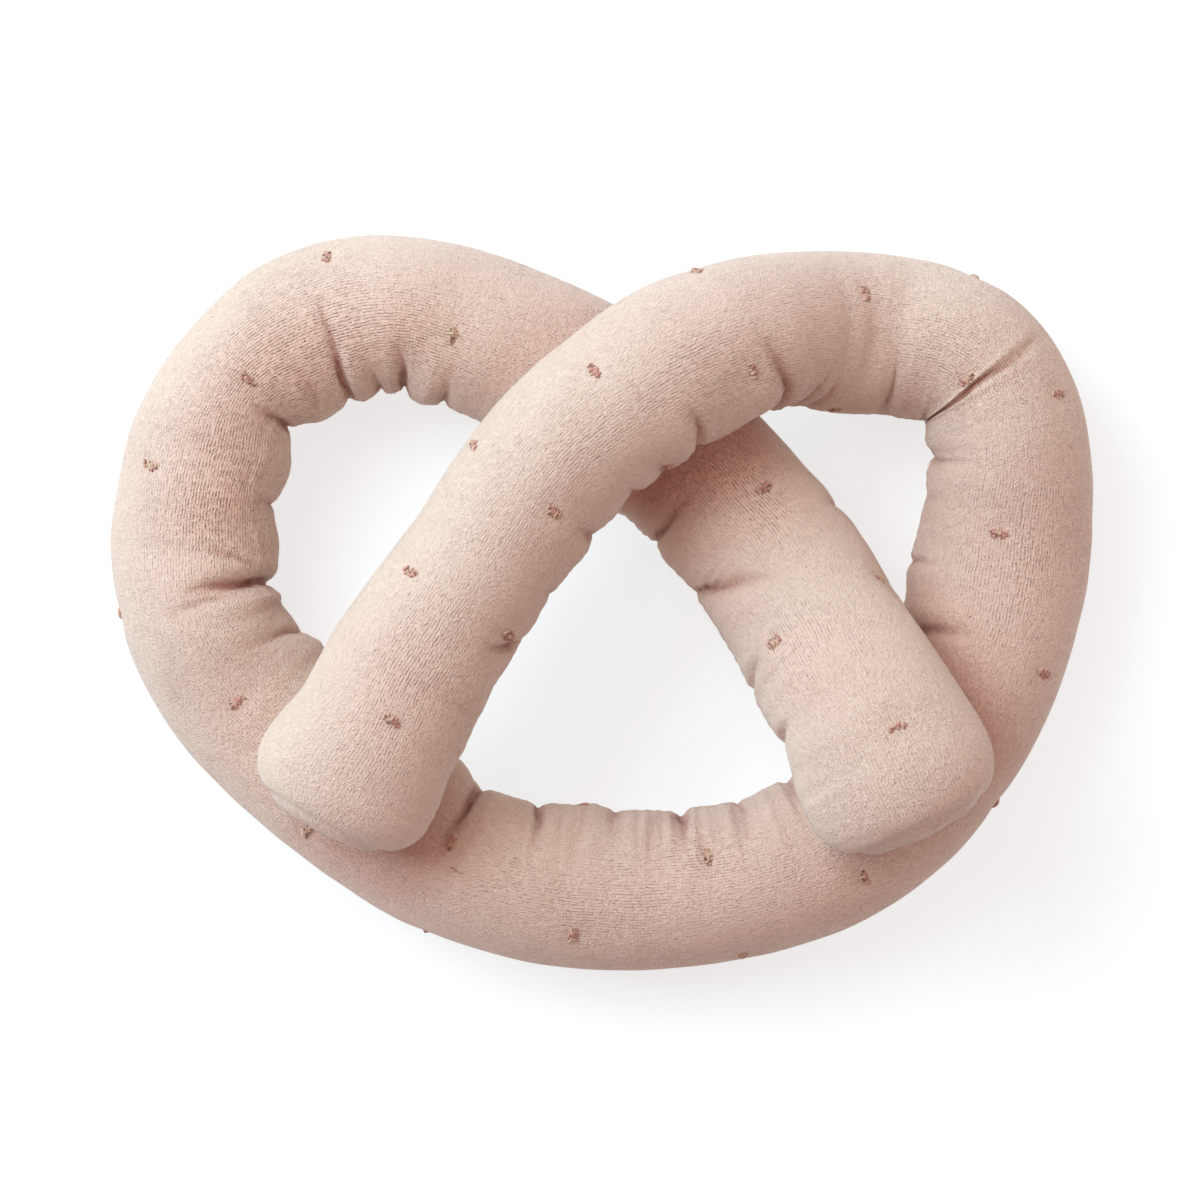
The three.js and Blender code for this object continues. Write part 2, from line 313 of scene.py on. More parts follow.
RIBBED_AND_BOUNCE = (
    RibPatch(70, 100, 45, 28, 0.3),
    RibPatch(215, 105, 45, 28, 0.15),
    RibPatch(285, 115, 35, 30, 0.25),
    RibPatch(345, 70, 40, 25, 0.2),
    RibPatch(430, 110, 25, 35, 0.3),
    RibPatch(520, 85, 45, 30, 0.25),
    RibPatch(605, 115, 25, 30, 0.3),
    RibPatch(670, 70, 25, 25, 0.3),
    RibPatch(735, 112, 25, 30, 0.4),
    RibPatch(795, 70, 30, 30, 0.2),
    RibPatch(910, 55, 25, 30, 0.4),
    RibPatch(965, 75, 28, 40, 0.3),
    RibPatch(1080, 115, 42, 38, 1.0),
    RibPatch(1160, 112, 34, 38, 1.0),
    RibPatch(1222, 115, 35, 35, 0.7),
    RibPatch(1345, 80, 25, 35, 0.6),
    RibPatch(1400, 72, 30, 30, 0.8),
    RibPatch(1490, 120, 20, 25, 0.3),
)


class Crossing(NamedTuple):
    """Two lengths of the tube, from and to along its middle, of which one lies on the other.

    The shaded part of the lower one lies in the nook beside the upper one, where the
    knit is painted a warmer, deeper shade, by the strength given.
    """

    over: tuple[float, float]
    under: tuple[float, float]
    shaded: tuple[float, float]
    shade_warmth: float


CROSSINGS = (
    Crossing(over=(120, 340), under=(1240, 1450), shaded=(1310, 1450), shade_warmth=1.0),
    Crossing(over=(0, 115), under=(835, 1020), shaded=(835, 940), shade_warmth=0.5),
    Crossing(over=(1440, 1600), under=(505, 730), shaded=(505, 630), shade_warmth=0.55),
)


class Dot(NamedTuple):
    """Place of an embroidered dot along the tube's middle and, in degrees, round it."""

    at: float
    angle: float


# The dots that lie on the upper side, in their staggered rows
DOTS = (
    Dot(60, 98), Dot(118, 52), Dot(120, 146), Dot(181, 114), Dot(182, 24),
    Dot(234, 62), Dot(236, 176), Dot(286, 120), Dot(288, 18), Dot(355, 64),
    Dot(358, 174), Dot(412, 6), Dot(428, 108), Dot(453, 46), Dot(508, 98),
    Dot(566, 44), Dot(618, 4), Dot(676, 62), Dot(729, 18), Dot(737, 116),
    Dot(799, 56), Dot(800, 182), Dot(856, -2), Dot(860, 104), Dot(917, 46),
    Dot(979, 84), Dot(1029, 6), Dot(1086, 54), Dot(1136, 100), Dot(1191, 38),
    Dot(1242, 102), Dot(1300, 46), Dot(1355, 100), Dot(1407, 64), Dot(1467, 22),
    Dot(1477, 124), Dot(1530, 78),
)
DOT_SPACING = 105.0  # degrees round the tube between two dots of a row
DOT_SHIFT = 2.0  # distance along the tube from one dot of a row to the next
UNSEEN_SIDE = (196, 350)  # angles round the tube where a row goes on out of sight
CLEAR_ALONG = 30  # two dots keep apart by this distance along the tube
CLEAR_ROUND = 50  # or by these degrees round it
STRAY_STITCH = Dot(853, 86)  # a single dark stitch that lies along the ribs


def half_height(half: np.ndarray) -> np.ndarray:
    """Half the tube's height where half its width is given: a wider section lies lower."""
    return np.minimum(TALLEST_HALF, TUBE_RADIUS**2 / half)


def unit(vectors: np.ndarray) -> np.ndarray:
    """The vectors, each with length 1."""
    return vectors / np.linalg.norm(vectors, axis=-1, keepdims=True)


def turned(angles: np.ndarray | float, angle: np.ndarray | float) -> np.ndarray | float:
    """Degrees from an angle round the tube to others, the short way, from -180 to 180."""
    return (angles - angle + 540) % 360 - 180


def faded(turn: np.ndarray, reach: float) -> np.ndarray:
    """Share of a form left at a turn from its middle: the cosine squared over its reach."""
    return np.where(np.abs(turn) < reach, np.cos(np.pi / 2 * turn / reach) ** 2, 0)


def bell(away: np.ndarray) -> np.ndarray:
    """Bell curve of a distance, 1 at no distance: the exponential of minus its square."""
    return np.exp(-(away**2))


@dataclass(frozen=True)
class Sections:
    """Cross-sections of the tube, one row of each array for each section.

    Args:
        at: distance along the tube's middle. Not used.
        middle: centre of the section.
        left: direction to its left side, level.
        up: direction to its top, square to the tube.
        wide: half its width.
        tall: half its height, square to the tube.
        plumb: half its height, measured straight down.
    """

    at: np.ndarray
    middle: np.ndarray
    left: np.ndarray
    up: np.ndarray
    wide: np.ndarray
    tall: np.ndarray
    plumb: np.ndarray

    PAST_END = 6.0  # distance past the last section at which a point still lies by the tube

    def skin(self, turns: np.ndarray, depth: np.ndarray | float = 0.0) -> np.ndarray:
        """Points of the surface at the angles, as a grid of sections by angles.

        Args:
            turns: angles round the tube, in radians.
            depth: how far each point is pressed in towards the middle.

        Returns:
            Array of sections, angles and coordinates: middle + left x (wide - depth) x
            cosine + up x (tall - depth) x sine.
        """
        across = (self.wide[:, None] - depth) * np.cos(turns)
        rise = (self.tall[:, None] - depth) * np.sin(turns)
        return (
            self.middle[:, None]
            + across[..., None] * self.left[:, None]
            + rise[..., None] * self.up[:, None]
        )

    def level_at(self, points: np.ndarray, side: int) -> np.ndarray:
        """Height of the round surface above or below the points, seen from above.

        Args:
            points: rows of x, y and z.
            side: 1 for the top of the tube and -1 for its underside.

        Returns:
            The heights, not a number where a point lies beside the tube.
        """
        offset = points[:, None, :2] - self.middle[None, :, :2]
        nearest = np.argmin((offset**2).sum(-1), axis=1)
        gap = offset[np.arange(len(points)), nearest]
        left = self.left[nearest, :2]
        across = (gap * left).sum(-1)
        along = np.abs(gap[:, 0] * -left[:, 1] + gap[:, 1] * left[:, 0])
        share = 1 - (across / np.maximum(self.wide[nearest], 1e-6)) ** 2
        rise = self.plumb[nearest] * np.sqrt(np.maximum(share, 0))
        level = self.middle[nearest, 2] + side * rise
        return np.where((share > 0) & (along < self.PAST_END), level, np.nan)


class Course:
    """The smooth line of the tube's middle, with half its width, through the rows of a route."""

    STEPS = 6000  # points at which its length is measured
    NEAR = 0.5  # distance to each side of a point over which its direction is taken

    def __init__(self, rows: tuple[Row, ...]) -> None:
        """Works out the curve: Catmull-Rom over the distance along the chords.

        Args:
            rows: the route's rows in order.
        """
        table = np.array(rows, float)
        level = half_height(table[:, 2]) - SINK + table[:, 3]
        self._knots = np.column_stack([table[:, :2], level, table[:, 2]])
        chords = np.linalg.norm(np.diff(self._knots[:, :3], axis=0), axis=1)
        self._at = np.concatenate([[0.0], np.cumsum(chords)])
        rise = np.diff(self._knots, axis=0) / chords[:, None]
        before, after = chords[:-1, None], chords[1:, None]
        inner = (rise[:-1] * after + rise[1:] * before) / (before + after)
        self._slopes = np.vstack([rise[:1], inner, rise[-1:]])
        self._fine = np.linspace(0, self._at[-1], self.STEPS)
        line = self._along_chords(self._fine)[:, :3]
        steps = np.linalg.norm(np.diff(line, axis=0), axis=1)
        self._lengths = np.concatenate([[0.0], np.cumsum(steps)])
        self.length = float(self._lengths[-1])

    def _along_chords(self, u: np.ndarray) -> np.ndarray:
        """Middle and half width at distances along the chords, by cubic Hermite pieces.

        Args:
            u: the distances.

        Returns:
            Rows of x, y, z and half width.
        """
        i = np.clip(np.searchsorted(self._at, u, side="right") - 1, 0, len(self._at) - 2)
        span = (self._at[i + 1] - self._at[i])[:, None]
        t = (u - self._at[i])[:, None] / span
        return (
            (1 + 2 * t) * (1 - t) ** 2 * self._knots[i]
            + t * (1 - t) ** 2 * span * self._slopes[i]
            + t * t * (3 - 2 * t) * self._knots[i + 1]
            + t * t * (t - 1) * span * self._slopes[i + 1]
        )

    def sections(self, at: np.ndarray, straighten: float = 0.0) -> Sections:
        """Sections at distances along the tube.

        Args:
            at: the distances.
            straighten: share of the route's bend that is taken out, 1 for a straight tube.

        Returns:
            The sections, which close at both ends of the tube.
        """
        u = np.interp(at, self._lengths, self._fine)
        here = self._along_chords(u)
        end = self._at[-1]
        forward = unit(
            self._along_chords(np.minimum(u + self.NEAR, end))[:, :3]
            - self._along_chords(np.maximum(u - self.NEAR, 0))[:, :3]
        )
        middle = here[:, :3]
        if straighten:
            heading = np.unwrap(np.arctan2(forward[:, 1], forward[:, 0])) * (1 - straighten)
            level = np.hypot(forward[:, 0], forward[:, 1])
            forward = np.column_stack(
                [level * np.cos(heading), level * np.sin(heading), forward[:, 2]]
            )
            steps = np.diff(at)[:, None] * (forward[1:] + forward[:-1]) / 2
            middle = np.vstack([np.zeros(3), np.cumsum(steps, axis=0)])
        left = unit(np.column_stack([-forward[:, 1], forward[:, 0], np.zeros(len(at))]))
        up = np.cross(forward, left)
        closing = 1 - np.clip(np.minimum(at, self.length - at) / END_LENGTH, 0, 1)
        share = (1 - closing**END_SQUARENESS) ** (1 / END_SQUARENESS)
        tall = half_height(here[:, 3]) * share
        return Sections(
            at=at,
            middle=middle,
            left=left,
            up=up,
            wide=here[:, 3] * share,
            tall=tall,
            plumb=tall / np.sqrt(1 - forward[:, 2] ** 2),
        )


def fold_depth(at: np.ndarray, angles: np.ndarray, folds: tuple[Fold, ...]) -> np.ndarray:
    """How deep folds press the knit in, less how far it swells and stands full beside them.

    A fold is a valley whose sides fall as the cube of the distance to its edge, with a
    low bell-shaped swelling of gathered knit beyond each side.

    Args:
        at: places along the tube.
        angles: angles round it, in degrees.
        folds: the folds.

    Returns:
        Array of places and angles, negative where the knit stands out over the even tube.
    """
    total = np.zeros((len(at), len(angles)))
    swell = np.zeros_like(total)
    for fold in folds:
        turn = turned(angles, fold.angle)
        fade = faded(turn, fold.reach)
        away = np.abs(at[:, None] - fold.at - fold.lean * turn) / fold.width
        valley = VALLEY_SHARE * fold.depth * fade * np.clip(1 - away, 0, 1) ** 3
        total = np.maximum(total, valley)
        swell += SWELL_SHARE * fold.depth * fade * bell((away - SWELL_AT) / SWELL_SPREAD)
    fuller = np.zeros_like(total)
    for row in FULLNESS:
        fade = row.height * faded(turned(angles, row.angle), row.reach)
        fuller += fade * bell((at[:, None] - row.at) / row.spread)
    return total - np.minimum(swell, MOST_SWELL) - fuller


def ribbed_and_bounce(at: np.ndarray, angles: np.ndarray) -> np.ndarray:
    """How clearly the ribs stand out, and how much painted warm bounce light lifts the colour:
    bell curves along and round each patch, added up.

    Args:
        at: places along the tube.
        angles: angles round it, in degrees.

    Returns:
        Array of places and angles, from 0 to 1.
    """
    total = np.zeros((len(at), len(angles)))
    for patch in RIBBED_AND_BOUNCE:
        turn = turned(angles, patch.angle) / patch.round_it
        along = (at[:, None] - patch.at) / patch.along
        total += patch.strength * bell(along) * bell(turn)
    return np.minimum(total, 1.0)


class Contact:
    """Keeps the lengths of the tube that lie on each other, and the surface below, apart."""

    STEP = 1.5  # distance between the sections that stand for a length
    REACH = 20.0  # distance from a length, seen from above, at which the painted warm shade beside it fades
    SHADE_EASE = 30.0  # distance over which the shaded part of a length sets in
    OTHER_SHARE = 0.25  # share of the painted warm shade that stays outside the shaded part

    def __init__(self, course: Course) -> None:
        """Prepares close sections of both lengths of every crossing.

        Args:
            course: the line of the tube's middle.
        """
        self._pairs = []
        for crossing in CROSSINGS:
            lengths = [
                course.sections(np.arange(start, min(end, course.length), self.STEP))
                for start, end in (crossing.over, crossing.under)
            ]
            self._pairs.append((crossing, *lengths))

    def press(self, points: np.ndarray, at: np.ndarray) -> np.ndarray:
        """The points, moved straight up or down to clear the other lengths and the surface.

        Between two lengths lies a sheet halfway from the top of the lower one to the
        underside of the upper one, which neither crosses.

        Args:
            points: grid of sections, angles and coordinates, in millimetres.
            at: place of each section along the tube.

        Returns:
            The grid of points in their new places.
        """
        out = points.copy()
        for crossing, over, under in self._pairs:
            for (start, end), side in ((crossing.over, 1), (crossing.under, -1)):
                rows = np.flatnonzero((at >= start) & (at <= end))
                part = out[rows].reshape(-1, 3)
                sheet = (over.level_at(part, -1) + under.level_at(part, 1)) / 2
                limit = sheet + side * PRESS_GAP / 2
                beyond = side * (part[:, 2] - limit) < 0
                part[beyond, 2] = limit[beyond]
                out[rows] = part.reshape(len(rows), -1, 3)
        out[..., 2] = np.maximum(out[..., 2], 0.0)
        return out

    def painted_warm_shade(self, points: np.ndarray, at: np.ndarray, angles: np.ndarray) -> np.ndarray:
        """Painted warm shade where a length lies over the knit: a bell curve of how close each
        point lies to it.

        Args:
            points: grid of sections, angles and coordinates, in millimetres.
            at: place of each section along the tube.
            angles: angles round the tube, in degrees.

        Returns:
            Array of sections and angles, up to the crossing's strength of painted warm shade in
            its shaded part and to a share of it elsewhere, and fading to nothing down the tube's
            sides.
        """
        total = np.zeros(points.shape[:2])
        upward = np.clip(0.1 + 1.2 * np.sin(np.radians(angles)), 0, 1)
        for crossing, over, _ in self._pairs:
            start, end = crossing.under
            rows = np.flatnonzero((at >= start) & (at <= end))
            offset = points[rows].reshape(-1, 1, 3)[..., :2] - over.middle[:, :2]
            away = np.linalg.norm(offset, axis=-1) - over.wide
            clear = np.maximum(away.min(axis=1), 0) / self.REACH
            near = bell(clear).reshape(len(rows), -1)
            low, high = crossing.shaded
            inside = np.stack([at[rows] - low, high - at[rows]]) / self.SHADE_EASE
            shaded = np.clip(inside, 0, 1).prod(axis=0)
            share = crossing.shade_warmth * (self.OTHER_SHARE + (1 - self.OTHER_SHARE) * shaded)
            total[rows] = np.maximum(total[rows], near * share[:, None] * upward)
        return total


def tube_faces(rings: int, around: int) -> list[tuple[int, ...]]:
    """Faces of a closed tube: a tip, rings of corners one after another, and a tip.

    Args:
        rings: number of rings.
        around: corners of each ring.

    Returns:
        The quads from ring to ring, then the triangles of both ends, all facing outwards.
    """
    grid = 1 + np.arange(rings * around).reshape(rings, around)
    near = grid[:-1].ravel()
    near_next = np.roll(grid[:-1], -1, axis=1).ravel()
    far_next = np.roll(grid[1:], -1, axis=1).ravel()
    far = grid[1:].ravel()
    quads = np.column_stack([near, near_next, far_next, far])
    last = 1 + rings * around
    first_ring, last_ring = grid[0], grid[-1]
    tip = np.column_stack([np.zeros(around, int), np.roll(first_ring, -1), first_ring])
    toe = np.column_stack([last_ring, np.roll(last_ring, -1), np.full(around, last)])
    return quads.tolist() + tip.tolist() + toe.tolist()


def make_object(name: str, corners: np.ndarray, faces: list[tuple[int, ...]]) -> bpy.types.Object:
    """Makes a mesh object at the origin with smooth faces.

    Args:
        name: its name.
        corners: rows of x, y and z, in millimetres.
        faces: corner numbers of each face.

    Returns:
        The object, in the scene.
    """
    mesh = bpy.data.meshes.new(name)
    mesh.from_pydata((corners * MM).tolist(), [], faces)
    mesh.shade_smooth()
    obj = bpy.data.objects.new(name, mesh)
    bpy.context.scene.collection.objects.link(obj)
    return obj


def closed_corners(grid: np.ndarray, tips: np.ndarray) -> np.ndarray:
    """Corners of a closed tube, from its rings and two tips, in the order of tube_faces."""
    return np.vstack([tips[:1], grid.reshape(-1, 3), tips[1:]])


def without_drift(moves: np.ndarray, reach: int = 9) -> np.ndarray:
    """Takes the slow drift out of the moves of a tube's corners, so that its outline stays.

    The drift is the mean of the moves over some rings before and after each one.

    Args:
        moves: grid of rings, angles and coordinates.
        reach: rings to each side over which the mean is taken.

    Returns:
        The moves without their drift.
    """
    padded = np.pad(moves, ((reach, reach), (0, 0), (0, 0)), mode="edge")
    sums = np.cumsum(np.concatenate([np.zeros_like(padded[:1]), padded]), axis=0)
    window = 2 * reach + 1
    return moves - (sums[window:] - sums[:-window]) / window


@dataclass(frozen=True)
class ClothRun:
    """A run of the cloth solver over the knit of the tube.

    The knit remembers a straighter tube, so it is tight on the outside of each bend and
    has too much length on the inside, where it gathers. The filling holds it softly to
    the tube's form and presses outwards, while the folds stay pinched, so the knit
    swells into pillows between them. Its moves are small, 2 mm at most, because the
    main forms are worked out before the run.

    Args:
        frames: steps that it runs for.
        mass: weight of each corner, which sets how far the knit moves in a step.
        pressure: push of the filling outwards.
        hold: share of the filling's grip on each point of the open knit.
        pinch: share of the grip that a deep fold adds.
        grip: stiffness of that grip.
        stretch: stiffness of the knit along its threads.
        shear: stiffness of the knit across its threads.
        bend: stiffness of the knit against bending.
        furthest: most that a point may move, in millimetres.
    """

    frames: int = 14
    mass: float = 0.01
    pressure: float = 6.0
    hold: float = 0.1
    pinch: float = 0.5
    grip: float = 0.03
    stretch: float = 22.0
    shear: float = 2.0
    bend: float = 0.01
    furthest: float = 4.5

    QUALITY = 5  # steps of the solver in each frame
    LEVELS = 8  # steps from the loosest hold to the firmest

    def settle(
        self,
        start: np.ndarray,
        slack: np.ndarray,
        folded: np.ndarray,
        rings: int,
        faces: list[tuple[int, ...]],
    ) -> np.ndarray:
        """Runs the solver, and takes its object away again.

        Args:
            start: corners of the tube in its loops, in millimetres.
            slack: the same corners in the form that the knit remembers.
            folded: how far down a fold each corner lies, 1 at the bottom of a deep one.
            rings: rings of corners that the tube has.
            faces: the tube's faces.

        Returns:
            Corners of the settled knit, in millimetres.
        """
        obj = make_object("cloth_run", start, faces)
        obj.shape_key_add(name="start")
        memory = obj.shape_key_add(name="slack")
        memory.data.foreach_set("co", (slack * MM).ravel())
        group = obj.vertex_groups.new(name="hold")
        levels = np.round(np.clip(folded, 0, 1) * self.LEVELS).astype(int)
        for level in range(self.LEVELS + 1):
            corners = np.flatnonzero(levels == level).tolist()
            group.add(corners, self.hold + self.pinch * level / self.LEVELS, "REPLACE")
        cloth = obj.modifiers.new("cloth", "CLOTH")
        settings = cloth.settings
        settings.quality = self.QUALITY
        settings.mass = self.mass
        settings.vertex_group_mass = group.name
        settings.pin_stiffness = self.grip
        settings.rest_shape_key = memory
        settings.tension_stiffness = self.stretch
        settings.compression_stiffness = self.stretch
        settings.shear_stiffness = self.shear
        settings.bending_stiffness = self.bend
        settings.use_pressure = True
        settings.uniform_pressure_force = self.pressure
        settings.effector_weights.gravity = 0.0
        cloth.collision_settings.use_collision = False
        cloth.collision_settings.use_self_collision = False
        cloth.point_cache.frame_start = 1
        cloth.point_cache.frame_end = self.frames
        scene = bpy.context.scene
        for number in range(1, self.frames + 1):
            scene.frame_set(number)
        settled = obj.evaluated_get(bpy.context.evaluated_depsgraph_get()).data
        corners = np.empty(len(start) * 3)
        settled.vertices.foreach_get("co", corners)
        scene.frame_set(1)
        mesh = obj.data
        bpy.data.objects.remove(obj)
        bpy.data.meshes.remove(mesh)
        moved = corners.reshape(-1, 3) / MM - start
        moved[1:-1] = without_drift(moved[1:-1].reshape(rings, -1, 3)).reshape(-1, 3)
        far = np.linalg.norm(moved, axis=1, keepdims=True)
        log.info("knit settled: moves %.1f mm at most, %.2f on average", far.max(), far.mean())
        return start + moved * np.minimum(1, self.furthest / np.maximum(far, 1e-9))


def between(grid: np.ndarray) -> np.ndarray:
    """Puts a row midway between each two rows, on a cubic through the four nearest.

    Args:
        grid: rows of any shape.

    Returns:
        The old rows with the new ones between them.
    """
    padded = np.concatenate([2 * grid[:1] - grid[1:2], grid, 2 * grid[-1:] - grid[-2:-1]])
    middle = (9 * (padded[1:-2] + padded[2:-1]) - padded[:-3] - padded[3:]) / 16
    out = np.empty((2 * len(grid) - 1, *grid.shape[1:]))
    out[0::2] = grid
    out[1::2] = middle
    return out


def between_round(grid: np.ndarray) -> np.ndarray:
    """Does the same between the angles of a grid, which run all the way round.

    Args:
        grid: rings, angles and coordinates.

    Returns:
        The grid with twice as many angles.
    """
    ahead = np.roll(grid, -1, axis=1)
    middle = (9 * (grid + ahead) - np.roll(grid, 1, axis=1) - np.roll(grid, -2, axis=1)) / 16
    out = np.empty((grid.shape[0], 2 * grid.shape[1], 3))
    out[:, 0::2] = grid
    out[:, 1::2] = middle
    return out


def surface_normals(grid: np.ndarray) -> np.ndarray:
    """Outward directions at a tube's corners, square to the lines along and round it.

    Args:
        grid: rings, angles and coordinates.

    Returns:
        A direction for each corner.
    """
    along = np.gradient(grid, axis=0)
    around = np.roll(grid, -1, axis=1) - np.roll(grid, 1, axis=1)
    return unit(np.cross(around, along))


@dataclass(frozen=True)
class Relief:
    """Fine forms raised on or pressed into the settled knit, along its normals.

    Args:
        crease: share of a fold's depth that its sharp valley line adds.
        crease_most: most that this line adds.
        crease_width: distance to each side over which that line fades, less in a fold
            that is narrow itself.
        seam: height of the lip along the long seam.
        seam_width: half width of that lip.
        dimple: depth of the hollow that the stitches of a dot pull in round it.
        dimple_width: radius at which that hollow has mostly faded.
        lumps: height of the filling's unevenness.
        flute: height of the soft flutes on the inner side of the bends.
        flute_angle: angle round the tube of their middle.
        flute_reach: degrees over which they fade out to each side.
        end_seam: depth of the sewn line that runs round just inside each end.
        end_seam_at: distance of that line from the tip, along the tube.
    """

    crease: float = 0.5
    crease_most: float = 2.2
    crease_width: float = 1.5
    seam: float = 1.3
    seam_width: float = 1.7
    dimple: float = 0.8
    dimple_width: float = 6.0
    lumps: float = 0.5
    flute: float = 0.4
    flute_angle: float = 150.0
    flute_reach: float = 58.0
    end_seam: float = 1.5
    end_seam_at: float = 5.5

    WANDER = 0.9  # how far a fold's line wavers along the tube
    PUCKER = 0.22  # share of the seam's height that comes and goes along it
    PUCKER_LENGTH = 6.5  # distance from one such pucker to the next
    HOLLOW = 0.35  # depth of the hollow beside the seam's lip, against its height
    HOLLOW_WIDTH = 2.6  # width of that hollow, against the lip's
    END_SEAM_WIDTH = 1.5  # half width of the line that runs round just inside each end
    DIMPLE_STRETCH = 1.25  # how much wider a dot's hollow is round the tube than along it
    LUMPS = 14  # waves whose sum makes the filling's unevenness
    LUMP_LENGTHS = (22, 70)  # shortest and longest of them
    FLUTES = 9  # waves whose sum makes the flutes
    FLUTE_LENGTHS = (5.5, 13)  # shortest and longest of them

    def creases(self, at: np.ndarray, angles: np.ndarray) -> np.ndarray:
        """Depth of the sharp valley lines in the folds, which falls off exponentially.

        Args:
            at: places along the tube.
            angles: angles round it, in degrees.

        Returns:
            Array of places and angles.
        """
        total = np.zeros((len(at), len(angles)))
        for fold in FOLDS + PUCKERS:
            turn = turned(angles, fold.angle)
            wander = self.WANDER * np.sin(turn / 9 + fold.at)
            width = min(self.crease_width, 0.4 * fold.width)
            away = np.abs(at[:, None] - fold.at - fold.lean * turn - wander) / width
            fade = np.clip(1 - np.abs(turn) / (0.85 * fold.reach), 0, 1)
            depth = min(self.crease * fold.depth, self.crease_most)
            total = np.maximum(total, depth * fade**0.7 * np.exp(-away))
        return total

    def unevenness(self, at: np.ndarray, angles: np.ndarray) -> np.ndarray:
        """Height of the low lumps of the filling: sine waves along and round the tube.

        They are lowest where the knit is drawn tight on the outer side of the bends.

        Args:
            at: places along the tube.
            angles: angles round it, in degrees.

        Returns:
            Array of places and angles.
        """
        rng = np.random.default_rng(3)
        total = np.zeros((len(at), len(angles)))
        turns = np.radians(angles)
        for _ in range(self.LUMPS):
            wave = rng.uniform(*self.LUMP_LENGTHS)
            round_it = rng.integers(0, 5)
            phase = rng.uniform(0, 2 * np.pi)
            total += np.sin(at[:, None] * 2 * np.pi / wave + round_it * turns + phase)
        return total * self.lumps * (0.65 - 0.4 * np.cos(turns)) / np.sqrt(self.LUMPS)

    def flutes(self, at: np.ndarray, angles: np.ndarray) -> np.ndarray:
        """Height of the flutes that the gathered knit forms: sine waves along the tube.

        Args:
            at: places along the tube.
            angles: angles round it, in degrees.

        Returns:
            Array of places and angles, highest along the inner side of the bends.
        """
        rng = np.random.default_rng(11)
        line = np.zeros(len(at))
        for _ in range(self.FLUTES):
            wave, phase = rng.uniform(*self.FLUTE_LENGTHS), rng.uniform(0, 2 * np.pi)
            line += np.sin(at * 2 * np.pi / wave + phase)
        line *= np.interp(at, *np.array(GATHERED).T)
        fade = faded(turned(angles, self.flute_angle), self.flute_reach)
        return self.flute * line[:, None] * fade / np.sqrt(self.FLUTES)

    def seam_lip(self, at: np.ndarray, angles: np.ndarray, girth: np.ndarray) -> np.ndarray:
        """Height of the seam's lip: a bell curve across it, in a wider and lower hollow.

        The lip wavers round the tube and puckers a little along it.

        Args:
            at: places along the tube.
            angles: angles round it, in degrees.
            girth: distance round the tube at each place.

        Returns:
            Array of places and angles.
        """
        drift = 2.0 * np.sin(at / 61) + 1.2 * np.sin(at / 23 + 1)
        seam = np.interp(at, *np.array(SEAM).T)
        arc = turned(angles, seam[:, None]) / 360 * girth[:, None]
        away = (arc - drift[:, None]) / self.seam_width
        beat = at * 2 * np.pi / self.PUCKER_LENGTH + 3 * np.sin(at / 17)
        pucker = 1 + self.PUCKER * np.sin(beat)
        lip = bell(away) - self.HOLLOW * bell(away / self.HOLLOW_WIDTH)
        return self.seam * pucker[:, None] * lip

    def dimples(self, at: np.ndarray, angles: np.ndarray, girth: np.ndarray) -> np.ndarray:
        """Depth of the hollows round the dots: bell curves, a little wider round the tube.

        Args:
            at: places along the tube.
            angles: angles round it, in degrees.
            girth: distance round the tube at each place.

        Returns:
            Array of places and angles.
        """
        total = np.zeros((len(at), len(angles)))
        for dot in all_dots():
            arc = turned(angles, dot.angle) / 360 * girth[:, None]
            away = np.hypot(arc / self.DIMPLE_STRETCH, at[:, None] - dot.at) / self.dimple_width
            total += self.dimple * bell(away)
        return total

    def apply(self, grid: np.ndarray, at: np.ndarray, angles: np.ndarray) -> np.ndarray:
        """Puts the relief on the knit, less and less of it towards the tips.

        Args:
            grid: rings, angles and coordinates of the knit.
            at: place of each ring along the tube.
            angles: angles round it, in degrees.

        Returns:
            The grid with the relief on it.
        """
        around = np.roll(grid, -1, axis=1) - grid
        girth = np.linalg.norm(around, axis=2).sum(axis=1)
        height = self.seam_lip(at, angles, girth) - self.creases(at, angles)
        height += self.unevenness(at, angles) + self.flutes(at, angles)
        height -= self.dimples(at, angles, girth)
        from_tip = np.minimum(at, at[-1] + at[0] - at)
        height *= np.clip(from_tip / (0.8 * END_LENGTH), 0, 1)[:, None]
        line = bell((from_tip - self.end_seam_at) / self.END_SEAM_WIDTH)
        height -= self.end_seam * line[:, None]
        return grid + height[..., None] * surface_normals(grid)


def all_dots() -> list[Dot]:
    """Carries the rows of dots on round the tube, where another dot isn't too near.

    Returns:
        The dots of the upper side, then those below.
    """
    dots = list(DOTS)
    for dot in DOTS:
        for step in (-3, -2, -1, 1, 2, 3):
            angle = dot.angle + step * DOT_SPACING
            unseen = UNSEEN_SIDE[0] < angle % 360 < UNSEEN_SIDE[1]
            clear = all(
                abs(other.at - dot.at) > CLEAR_ALONG
                or abs(turned(other.angle, angle)) > CLEAR_ROUND
                for other in dots
            )
            if unseen and clear:
                dots.append(Dot(dot.at + step * DOT_SHIFT, angle))
    return dots


